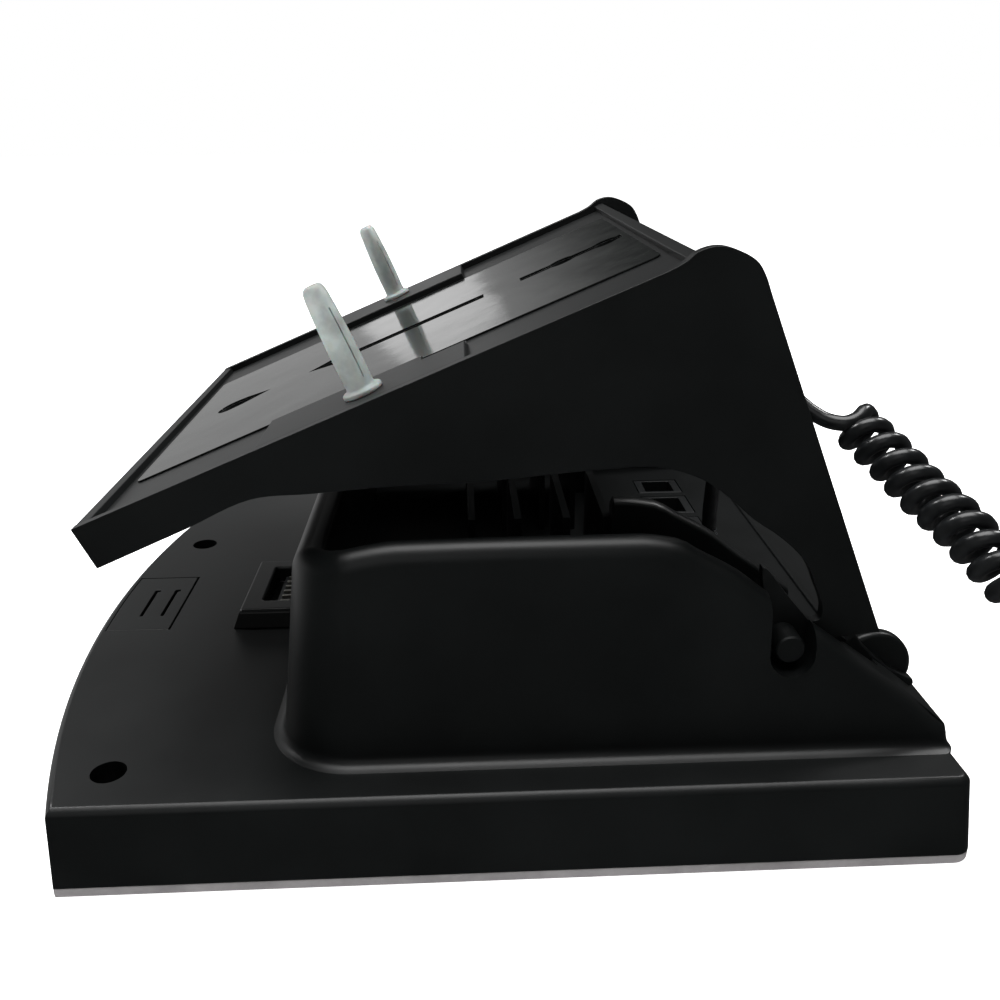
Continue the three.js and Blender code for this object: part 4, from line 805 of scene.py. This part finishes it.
class PHONE_OT_rear_housing(bpy.types.Operator):
    """Moulds the flat case with its raised back, cable bay, fins, screw wells and hinge seats"""

    bl_idname = "phone.rear_housing"
    bl_label = "Rear housing"

    def execute(self, context):
        rim_radius = context.scene.phone_shape.rim_radius / MM
        lobes = mirrored(prism("lobe", disc(213.5, 38.5, 10.3, 72), 33, 37.4, "Y"))
        whole = joined("rear_housing_made", self.slab(), self.back(rim_radius), self.deck(),
                       *self.tubes(), *self.ribs(), *self.boss(),
                       *[softened(lobe, 1.4, 5, 40) for lobe in lobes], *mirrored(self.lip()))
        dressed(whole, BASE, ["rear_housing"], "shell", 34)
        self.cover()
        self.screws()
        return {"FINISHED"}

    def slab(self):
        """The flat case, hollow below, with its wells and the opening for its cover."""
        edge_shares = ((0.0, 0.0), (0.2, 0.05), (0.45, 0.2), (0.7, 0.45), (0.9, 0.75), (1.0, 1.0))
        rings = [(BEZEL_TOP, case_outline(0.0)), (BEZEL_TOP + 0.35, case_outline(0.0))]
        rings += [(CASE_TOP - CASE_EDGE + CASE_EDGE * up,
                   case_outline(WALL_DRAFT + CASE_EDGE * inwards, WALL_DRAFT))
                  for up, inwards in edge_shares]
        return boolean(stack("rear_housing_made", rings), [
            prism("cavity", case_outline(3.4), 0, 21.5),
            *[prism("well", disc(x, y, 4.5), 9, 40) for x, y in CASE_SCREWS.values()],
            prism("pocket", self.cover_outline(0), CASE_TOP - COVER_THICKNESS, 40),
            prism("hole", self.cover_outline(3), 0, 40)])

    def back(self, rim_radius):
        """The raised back with its hinge seats, its foot slots and the pockets by the hinge."""
        seat = arc(*NOTCH, 5.8, math.pi, 2 * math.pi, 24)
        seat += [(NOTCH[0] + 6.2, 95), (NOTCH[0] - 6.2, 95)]
        end = rim_height(211.5)
        slot = [(197.55, 46.5), (209.9, end - 1.6), (211.5, end), (211.5, 95), (197.55, 95)]
        pocket = rectangle(*HINGE_POCKET, 38, 50.2)
        return boolean(raised_back(rim_radius), [
            *mirrored(prism("seat", seat, 0, 25.55, "Y")),
            *mirrored(prism("foot_slot", slot, 26.6, 31, "Y")),
            *mirrored(prism("pocket", pocket, 25.5, 34, "Y"))])

    def deck(self):
        """The deck of the bay with the sockets' holes and the pits for the stand's walls."""
        jacks = [(72, 6.5), (89.25, 6.5), (108, 8), (128.25, 8), (147, 6.5)]
        pit = rectangle(*HINGE_POCKET, 30, 60)
        return boolean(prism("deck", rectangle(153, 200.3, 25.2, CASE_WIDTH - 25.2), 38, 50), [
            *[prism("jack_hole", rectangle(167.7, 184.3, y - half - 0.3, y + half + 0.3), 36, 60)
              for y, half in jacks],
            *mirrored(prism("pit", pit, 20, 34, "Y")),
            *mirrored(prism("pit", rectangle(197, 201, 46.5, 60), 26.6, 31, "Y"))])

    def tubes(self):
        """The tubes round the two screw wells."""
        profile = [(6.3, 5), (6.3, 22), (4.5, 22), (4.5, 9), (1.7, 9), (1.7, 5), (6.3, 5)]
        return [lathe("well_tube", profile, 48, place) for place in CASE_SCREWS.values()]

    def boss(self):
        """The boss in the bay with its screw's head."""
        place = (93, 62)
        profile = [(4.2, 39.5), (4.2, 56.4), (3.7, 57), (1.5, 57), (1.5, 45), (0, 45)]
        head = prism("screw_head", disc(*place, 2.9), 56, 58.6)
        return [lathe("boss", profile, 40, place), softened(head, 0.5)]

    def cover_outline(self, clearance):
        """The access cover's outline, drawn in by the clearance."""
        near, far, right = 91 + clearance, 130.5 - clearance, 6.4 - clearance
        return [(right, near), (right, far), *bow_line(far, near, 4 + clearance, 12)]

    def lip(self):
        """The low lip that runs down the foot of the ramp beside the lobe."""
        points = [(205.8, 51), (208.1, 47.4), (211.7, 43.8), (216.8, 39.5), (221.8, 36.7),
                  (223.8, 35.9), (224.2, 34.3), (222.3, 33.3), (219, 34), (214, 38), (208, 42),
                  (203, 47)]
        return softened(prism("lip", points, 30.5, 34, "Y"), 0.6, 3)

    def ribs(self):
        """The bay's fins and the ridges that follow the rim."""
        made = []
        angles = [math.pi / 2 * i / 10 for i in range(11)]
        foot = [(41 + 11 * math.sin(a), 40 + 24 * (1 - math.cos(a))) for a in angles]
        outline = [(92, 39.9), (92, 77), (52, 77), *reversed(foot), (41, 39.9)]
        for x in (104, 116.6, 130, 141):
            made += mirrored(softened(prism("fin", outline, x, x + 2, "X"), 0.45, 2))
        start = 143
        line = [194 - 2.8 * i for i in range(19)]
        rings = []
        for y, drop in ((50, 2.2), (50.3, 1.2), (51, 0.4), (52.5, 0), (54, 0.4), (54.7, 1.2),
                        (55, 2.2)):
            top = [(x, rim_height(x) - 1.0 - drop * 0.8) for x in line if x > start]
            rings.append((y, [(start, 39.9), (194, 39.9), *top,
                              (start, rim_height(start) - 2.4 - drop)]))
        return made + mirrored(stack("ridge", rings, "Y"))

    def cover(self):
        """The access cover with its two hooked slots."""
        outline = [(min(x, 5.7), y) for x, y in self.cover_outline(0.25)]
        piece = prism("access_cover_made", outline, CASE_TOP - COVER_THICKNESS, CASE_TOP - 0.02)
        slots = [prism("slot", [(x - 0.5, 101), (x + 0.5, 101), (x + 0.5, 119), (x + 1.5, 119.4),
                                (x + 1.2, 120.6), (x - 0.5, 120.2)], 0, 40) for x in (-6, 0.9)]
        softened(boolean(piece, slots), 0.25, 2)
        dressed(piece, BASE, ["access_cover"], "shell")

    def screws(self):
        """The two case screws in their wells."""
        profile = [(0, 5), (1.2, 5), (1.5, 5.4), (1.5, 9), (3.4, 9), (3.4, 10.3), (3.0, 11),
                   (2.2, 11.35), (0, 11.4)]
        for name, (x, y) in CASE_SCREWS.items():
            screw = lathe(f"housing_screw_{name}_made", profile, 40, (x, y))
            boolean(screw, [prism("cross", rectangle(x - a, x + a, y - b, y + b), 10.2, 14)
                            for a, b in ((2, 0.45), (0.45, 2))])
            dressed(screw, BASE, [f"housing_screw_{name}"], "steel")


class PHONE_OT_module_port(bpy.types.Operator):
    """Makes the raised port for an add on module, with its row of contacts"""

    bl_idname = "phone.module_port"
    bl_label = "Module port"

    def execute(self, context):
        body = stack("module_port_housing_made", [
            (25, rectangle(27, 46.8, 90, 131)), (30.2, rectangle(29, 46.8, 91, 130)),
            (31.2, rectangle(29.6, 46.8, 92, 129))])
        window = stack("window", [
            (25.6, rounded(36, 44.5, 98.4, 123.6, 1)), (30.6, rounded(35.8, 44.6, 98.2, 123.8, 1)),
            (31.6, rounded(35, 45.4, 97.4, 124.6, 1.4))])
        softened(boolean(body, [window]), 0.6, 3)
        dressed(body, BASE, ["module_port_housing"], "shell")
        block = prism("block", rectangle(39.3, 44.4, 100, 122), 25.65, 28.2)
        pin = softened(prism("pin", rectangle(40.6, 43.6, 101.4, 102.4), 28, 29.2), 0.15, 2)
        pins = self.repeated(pin, 6, (0, 3.6, 0), finish_of("gold"))
        for face in pins.data.polygons:
            face.material_index = 1
        row = joined("module_port_contacts_made", block, pins)
        row.data.materials.append(finish_of("socket"))
        row.data.materials.append(finish_of("gold"))
        dressed(row, BASE, ["module_port_contacts"], "gold")
        return {"FINISHED"}

    def repeated(self, piece, count, step, material):
        """Copies of the piece in a row, made by a node tree and turned into a plain mesh."""
        tree = bpy.data.node_groups.new("row of pins", "GeometryNodeTree")
        asked = {name: tree.interface.new_socket(
            name, in_out="INPUT", socket_type="NodeSocket" + kind).identifier
            for name, kind in (("Geometry", "Geometry"), ("Count", "Int"), ("Step", "Vector"),
                               ("Material", "Material"))}
        tree.interface.new_socket("Geometry", in_out="OUTPUT", socket_type="NodeSocketGeometry")
        given, out, line, spots, real, paint = (tree.nodes.new(kind) for kind in (
            "NodeGroupInput", "NodeGroupOutput", "GeometryNodeMeshLine",
            "GeometryNodeInstanceOnPoints", "GeometryNodeRealizeInstances",
            "GeometryNodeSetMaterial"))
        line.mode = "OFFSET"
        for source, leaves, target, enters in (
            (given, "Count", line, "Count"), (given, "Step", line, "Offset"),
            (line, "Mesh", spots, "Points"), (given, "Geometry", spots, "Instance"),
            (spots, "Instances", real, "Geometry"), (real, "Geometry", paint, "Geometry"),
            (given, "Material", paint, "Material"), (paint, "Geometry", out, "Geometry"),
        ):
            tree.links.new(source.outputs[leaves], target.inputs[enters])
        change = piece.modifiers.new("row", "NODES")
        change.node_group = tree
        for name, value in (("Count", count), ("Step", step), ("Material", material)):
            change[asked[name]] = value
        return evaluated(piece)


class PHONE_OT_stand(bpy.types.Operator):
    """Makes the folding stand with its shaped walls, sunk deck, lip, rail, pads and hinge pins"""

    bl_idname = "phone.stand"
    bl_label = "Stand"

    def execute(self, context):
        outline = smooth_outline(WALL, WALL_CORNERS)
        wall = prism("wall", outline, STAND_NEAR, STAND_NEAR + STAND_WALL, "Y")
        softened(wall, 0.45, 3, 40)
        spot = STAND_PLACE.inverted() @ Vector((PIN[0], 0, PIN[1]))
        profile = [(0, 19.5), (3.4, 19.5), (3.8, 19.9), (3.8, 28), (0, 28)]
        pin = lathe("pin", profile, 48, (spot.x, spot.z), "Y")
        near = STAND_NEAR + STAND_WALL - 0.2
        far = CASE_WIDTH - near
        deck = prism("deck", rectangle(0.3, 160, near, far), -4.6, -2.2)
        softened(boolean(deck, self.openings(0)), 0.3, 2)
        lip = prism("lip", [(0, 0), (0.3, -11.4), (3.2, -11.3), (3, -0.5)], near, far, "Y")
        rail = prism("rail", rectangle(159.7, 163, -10, -0.3), near, far, "Y")
        pad = prism("pad", rectangle(49, 104, near, near + 23), -2.6, 0)
        pads = mirrored(softened(pad, 0.4, 3))
        boolean(pads[0], [prism("step", rectangle(92, 104.5, near + 18, near + 24), -1.1, 1)])
        whole = joined("stand_shell_made", deck, softened(lip, 0.35, 2), softened(rail, 0.35, 2),
                       *pads, *mirrored(joined("walls", wall, pin)))
        dressed(moved(whole, STAND_PLACE), STAND, ["stand_shell"], "stand")
        sheet = prism("stand_film_made", rounded(6, 158, 58, CASE_WIDTH - 58, 2), -2.15, -1.65)
        softened(boolean(sheet, self.openings(0.3)), 0.12, 2)
        dressed(moved(sheet, STAND_PLACE), STAND, ["stand_film"], "film")
        return {"FINISHED"}

    def openings(self, spread):
        """Tools for the deck's leaf, arrow and keyhole slot, each wider by the spread."""
        y, s = CASE_WIDTH / 2, spread
        side = [(22.6, 4.8 + s), (27, 4 + s), (31, 2.2 + s)]
        leaf = [*((x, y - half) for x, half in side), (36 + s, y),
                *((x, y + half) for x, half in reversed(side)),
                *arc(22.6, y, 4.8 + s, math.pi / 2, 3 * math.pi / 2, 16)[1:-1]]
        barb, shaft = 7.5 + s, 2.8 + s
        arrow = [(50 - s, y), (63 + s, y - barb), (63 + s, y - shaft), (110 + s, y - shaft),
                 (110 + s, y + shaft), (63 + s, y + shaft), (63 + s, y + barb)]
        head, slot = 4.4, []
        for start, end, sign in ((123, 156, -1), (156, 123, 1)):
            for i in range(67):
                x = start + (end - start) * i / 66
                half = 2.6
                for middle in (136.6, 151):
                    if abs(x - middle) < head:
                        half = max(half, math.sqrt(head ** 2 - (x - middle) ** 2))
                ends = s if x > 155.9 else -s if x < 123.1 else 0
                slot.append((x + ends, y + sign * (half + s)))
        return [prism("opening", shape, -6, 0) for shape in (leaf, arrow, slot)]


class PHONE_OT_wall_plugs(bpy.types.Operator):
    """Stands the two nylon wall plugs on their screws"""

    bl_idname = "phone.wall_plugs"
    bl_label = "Wall plugs and screws"

    def execute(self, context):
        profile = [(2.1, 0), (4.8, 0), (5.1, 0.3), (5.1, 0.95), (4.8, 1.25), (3.9, 1.5),
                   (3.55, 2.1), (3.5, 4), (3.6, 7), (3.6, 12), (3.45, 17), (3.2, 22), (3.0, 25),
                   (2.8, 26.6), (2.3, 27.6), (1.6, 28), (0.6, 28), (0.6, 21.4), (2.1, 20.5),
                   (2.1, 0)]
        screw = [(0, -7), (2.4, -7), (3.4, -6.4), (4, -4.65), (1.8, -4.6), (1.8, -2)]
        for turn in range(14):
            start = turn * 1.4
            screw += [(1.8, -1.6 + start), (1.35, -1.1 + start), (1.35, -0.9 + start)]
        screw += [(1.75, 18.4), (0.2, 20), (0, 20)]
        for name, y in (("near", PLUG_EDGE), ("far", CASE_WIDTH - PLUG_EDGE)):
            plug = lathe(f"wall_plug_{name}_made", profile, 48, (PLUG_X, y))
            turn = Matrix.Translation((PLUG_X, y, 0)) @ Matrix.Rotation(math.radians(40), 4, "Z")
            boolean(plug, [moved(prism("split", rectangle(-0.2, 0.2, -6, 6), 4, 22), turn)])
            shank = lathe(f"wall_screw_{name}_made", screw, 32, (PLUG_X, y))
            dressed(moved(plug, STAND_PLACE), STAND, [f"wall_plug_{name}"], "nylon", 50)
            dressed(moved(shank, STAND_PLACE), STAND, [f"wall_screw_{name}"], "steel")
        return {"FINISHED"}


class PHONE_OT_sockets(bpy.types.Operator):
    """Fits the five sockets of the telephone and the handset's own"""

    bl_idname = "phone.sockets"
    bl_label = "Sockets"

    def execute(self, context):
        for node in ("handset_jack", "headset_jack", "network_jack", "computer_jack", "power_jack",
                     "handset_socket"):
            finished_node(node, "socket", 0.3)
        return {"FINISHED"}


class PHONE_OT_front(bpy.types.Operator):
    """Makes the bezel, the front panel and the display"""

    bl_idname = "phone.front"
    bl_label = "Front and bezel"

    def execute(self, context):
        bezel = stack("front_bezel_made", [(at, case_outline(inset)) for at, inset in (
            (0, 0.7), (0.25, 0.25), (0.7, 0.02), (2.6, 0.0), (2.92, 0.2))])
        boolean(bezel, [prism("inside", case_outline(5), -2, 6)])
        dressed(bezel, BASE, ["front_bezel"], "trim")
        finished_node("front_panel", "shell", 0.15)
        finished_node("handset_cradle", "shell", 0.4)
        finished_node("display_window", "glass", 0.2)
        return {"FINISHED"}


class PHONE_OT_keys(bpy.types.Operator):
    """Makes the keys, the rocker and the hook plunger, with plain numbers on the dial keys"""

    bl_idname = "phone.keys"
    bl_label = "Keys"

    def execute(self, context):
        marks = {**{f"dial_key_{n}": str(n) for n in range(10)}, "dial_key_star": "*",
                 "dial_key_hash": "#"}
        names = [*marks, *(f"soft_key_{n}" for n in (1, 2, 3, 4)), "speaker_key", "headset_key",
                 "mute_key", "navigation_key", "volume_rocker", "hook_plunger"]
        for node in names:
            key = softened(node_copy(node + "_made", node), 0.3, 3)
            if node in marks:
                key = joined(node + "_made", key, self.mark(node, marks[node]))
                key.data.materials.append(finish_of("key"))
                key.data.materials.append(finish_of("mark"))
            dressed(key, node + "_body", [node], "key")
        return {"FINISHED"}

    def mark(self, node, word):
        """The number as a thin mesh on the key's face, read from the front."""
        low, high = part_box(node)
        text = bpy.data.curves.new("mark", "FONT")
        text.body, text.size, text.extrude = word, 7.5, 0.12
        text.align_x, text.align_y = "CENTER", "CENTER"
        holder = bpy.data.objects.new("mark", text)
        bpy.context.scene.collection.objects.link(holder)
        graph = bpy.context.evaluated_depsgraph_get()
        mesh = bpy.data.meshes.new_from_object(holder.evaluated_get(graph))
        bpy.data.objects.remove(holder)
        middle = TO_ROW.inverted() @ ((low + high) / 2)
        turn = Matrix(((0, 1, 0), (1, 0, 0), (0, 0, -1))).to_4x4()
        mesh.transform(Matrix.Translation((middle.x, middle.y, 0.9)) @ turn)
        mesh.materials.clear()
        piece = new_object("mark", mesh)
        for face in mesh.polygons:
            face.material_index = 1
        return piece


class PHONE_OT_handset(bpy.types.Operator):
    """Lofts the handset and splits it at its seam, with its grilles"""

    bl_idname = "phone.handset"
    bl_label = "Handset"

    def execute(self, context):
        shares = [0, 0.004, 0.012, 0.024, 0.04, 0.058, 0.08, 0.11, 0.15, 0.19, 0.225]
        shares += [0.24 + 0.12 * i / 10 for i in range(11)] + [0.4, 0.45, 0.5]
        shares += [1 - s for s in reversed(shares[:-1])]
        rings = [(HANDSET_LENGTH * s, self.ring(s)) for s in shares]
        cuts = [prism("cut", disc(x, 0, radius), low, high) for x, radius, low, high in (
            (EAR_X, 14, -2, 1.6), (EAR_X, 13.8, 3, 30),
            (MOUTH_X, 8.3, -2, 1.6), (MOUTH_X, 4.8, 3, 30))]
        cuts += [prism("cut", rectangle(179.7, 195.3, -6.3, 6.3), 5, 30),
                 prism("cut", rectangle(-4.3, 4.3, 6.2, 13.8), 195, 230, "X")]
        for name, low, high, tools in (("lower", -5, 18.95, cuts), ("upper", 19.0, 60, [])):
            shell = stack(f"handset_{name}_shell_made", rings, "X")
            boolean(shell, [prism("keep", rectangle(-10, 210, -40, 40), low, high)], "INTERSECT")
            softened(boolean(shell, tools), 0.35, 2, 40)
            dressed(moved(shell, HANDSET_PLACE), BASE, [f"handset_{name}_shell"],
                    "shell", 34)
        for node, x, radius, circles in (("earpiece_grille", EAR_X, 13.7, (3.2, 6.4, 9.6)),
                                         ("mouthpiece_grille", MOUTH_X, 8, (2.6, 5.2))):
            plate = prism(node + "_made", disc(x, 0, radius), 0.5, 1.6)
            spots = [(x, 0)]
            for k, circle in enumerate(circles):
                spots += disc(x, 0, circle, 6 * (k + 1))
            holes = [prism("hole", disc(*spot, 0.9, 16), -1, 3) for spot in spots]
            boolean(plate, [joined("holes", *holes)])
            dressed(moved(plate, HANDSET_PLACE), BASE, [node], "socket")
        return {"FINISHED"}

    def ring(self, share):
        """The handset's outline at that share of its length."""
        from_end = min(share, 1 - share)
        blunt = 0.35 + 0.65 * math.sqrt(1 - (1 - min(1, from_end / 0.08)) ** 2)
        grip = smooth_step((from_end - 0.24) / 0.12)
        half = (HANDSET_HALF - 3.5 * grip) * blunt - 0.02
        bottom = 15 * grip + 6 * (1 - blunt) + 0.01
        top = 24 + 10 * math.sin(math.pi * share) - 8 * (1 - blunt)
        corner = min(6, half * 0.7, (top - bottom) * 0.45)
        return rounded(-half, half, bottom, top, corner, 8)


class PHONE_OT_inner_parts(bpy.types.Operator):
    """Gives the parts inside the case and the handset their finishes"""

    bl_idname = "phone.inner_parts"
    bl_label = "Inner parts"

    def execute(self, context):
        for node, key, slot in (
            ("main_board", "board", "board"), ("keypad_mat", "rubber", "rubber"),
            ("display_module", "socket", "socket"), ("loudspeaker", "socket", "socket"),
            ("receiver_capsule", "steel", "steel"), ("microphone", "steel", "steel"),
        ):
            finished_node(node, key, 0.15)
        return {"FINISHED"}


class PHONE_OT_stage(bpy.types.Operator):
    """Lays the pale floor and hangs the soft lights"""

    bl_idname = "phone.stage"
    bl_label = "Stage and lights"

    def execute(self, context):
        floor = solid("floor", [(-6, -4, 0), (6, -4, 0), (6, 8, 0), (-6, 8, 0)], [(0, 1, 2, 3)])
        floor.data.transform(Matrix.Translation((0, 0, -0.0002)))
        material, nodes, links, shader, place = material_nodes("floor")
        cloud = noise(nodes, links, place, 3, 2, 0.55)
        tone = ramp(nodes, links, cloud.outputs["Fac"], (0.86, 0.86, 0.86), (0.9, 0.9, 0.9))
        links.new(tone.outputs["Color"], shader.inputs["Base Color"])
        links.new(tone.outputs["Color"], shader.inputs["Emission Color"])
        for socket, value in (("Emission Strength", 1.3), ("Roughness", 0.9),
                              ("Specular IOR Level", 0.1)):
            shader.inputs[socket].default_value = value
        floor.data.materials.append(material)
        floor.visible_glossy = False
        for name, spot, aim, size, power in (
            ("back left lamp", (-0.95, 0.5, 1.2), (0.05, 0.0, 0.08), 0.3, 8),
            ("back right lamp", (1.0, 0.5, 1.2), (0.05, 0.0, 0.08), 0.3, 6),
            ("top panel", (0.0, 0.1, 1.6), (0, 0.05, 0.05), 1.3, 26),
            ("back card", (-0.22, 1.48, 0.27), (0, 0, 0.12), 0.2, 0.08),
            ("front panel", (-0.3, -1.4, 0.9), (0, 0.05, 0.05), 1.0, 1.2),
        ):
            data = bpy.data.lights.new(name, "AREA")
            data.shape, data.size, data.energy = "SQUARE", size, power
            lamp = bpy.data.objects.new(name, data)
            context.scene.collection.objects.link(lamp)
            lamp.location = spot
            lamp.rotation_euler = (Vector(aim) - Vector(spot)).to_track_quat("-Z", "Y").to_euler()
        context.scene.world = self.sky()
        context.scene.view_settings.view_transform = "Standard"
        return {"FINISHED"}

    def sky(self):
        """A dim sky with a glow at the back on the left, and plain white to the camera."""
        world = bpy.data.worlds.new("soft sky")
        world.use_nodes = True
        nodes, links = world.node_tree.nodes, world.node_tree.links

        def maths(operation, first, second):
            made = nodes.new("ShaderNodeMath")
            made.operation = operation
            links.new(first, made.inputs[0])
            links.new(second, made.inputs[1])
            return made.outputs[0]

        way = nodes.new("ShaderNodeSeparateXYZ")
        links.new(nodes.new("ShaderNodeTexCoord").outputs["Generated"], way.inputs["Vector"])
        shares = []
        for axis, start, end in (("X", 0.06, -0.16), ("Y", 0.1, 0.7), ("Z", 0.5, 0.22)):
            share = spread(nodes, links, way.outputs[axis], 0.0, 1.0)
            share.interpolation_type = "SMOOTHSTEP"
            share.inputs["From Min"].default_value = start
            share.inputs["From Max"].default_value = end
            shares.append(share.outputs["Result"])
        glow = maths("MULTIPLY", maths("MULTIPLY", shares[0], shares[1]), shares[2])
        dim = spread(nodes, links, glow, 0.03, 0.5)
        seen = nodes.new("ShaderNodeLightPath").outputs["Is Camera Ray"]
        background = nodes["Background"]
        links.new(maths("MAXIMUM", dim.outputs["Result"], seen), background.inputs["Strength"])
        background.inputs["Color"].default_value = (1, 1, 1, 1)
        return world


class PHONE_PT_panel(bpy.types.Panel):
    """Lists the telephone's pieces and sizes in the sidebar"""

    bl_idname = "PHONE_PT_panel"
    bl_label = "Corded telephone"
    bl_space_type = "VIEW_3D"
    bl_region_type = "UI"
    bl_category = "Telephone"

    def draw(self, context):
        for group in (context.scene.phone_finish, context.scene.phone_shape):
            for name in group.__annotations__:
                self.layout.prop(group, name)
        for operator in OPERATORS:
            self.layout.operator(operator.bl_idname)


OPERATORS = (
    PHONE_OT_camera, PHONE_OT_cord, PHONE_OT_rear_housing, PHONE_OT_module_port, PHONE_OT_stand,
    PHONE_OT_wall_plugs, PHONE_OT_sockets, PHONE_OT_front, PHONE_OT_keys, PHONE_OT_handset,
    PHONE_OT_inner_parts, PHONE_OT_stage,
)
CLASSES = (PhoneFinish, PhoneShape, *OPERATORS, PHONE_PT_panel)


def register():
    for item in CLASSES:
        bpy.utils.register_class(item)
    bpy.types.Scene.phone_finish = PointerProperty(type=PhoneFinish)
    bpy.types.Scene.phone_shape = PointerProperty(type=PhoneShape)


def unregister():
    del bpy.types.Scene.phone_shape
    del bpy.types.Scene.phone_finish
    for item in reversed(CLASSES):
        bpy.utils.unregister_class(item)


def main():
    register()
    for operator in OPERATORS:
        group, name = operator.bl_idname.split(".")
        getattr(getattr(bpy.ops, group), name)()


if __name__ == "__main__":
    main()
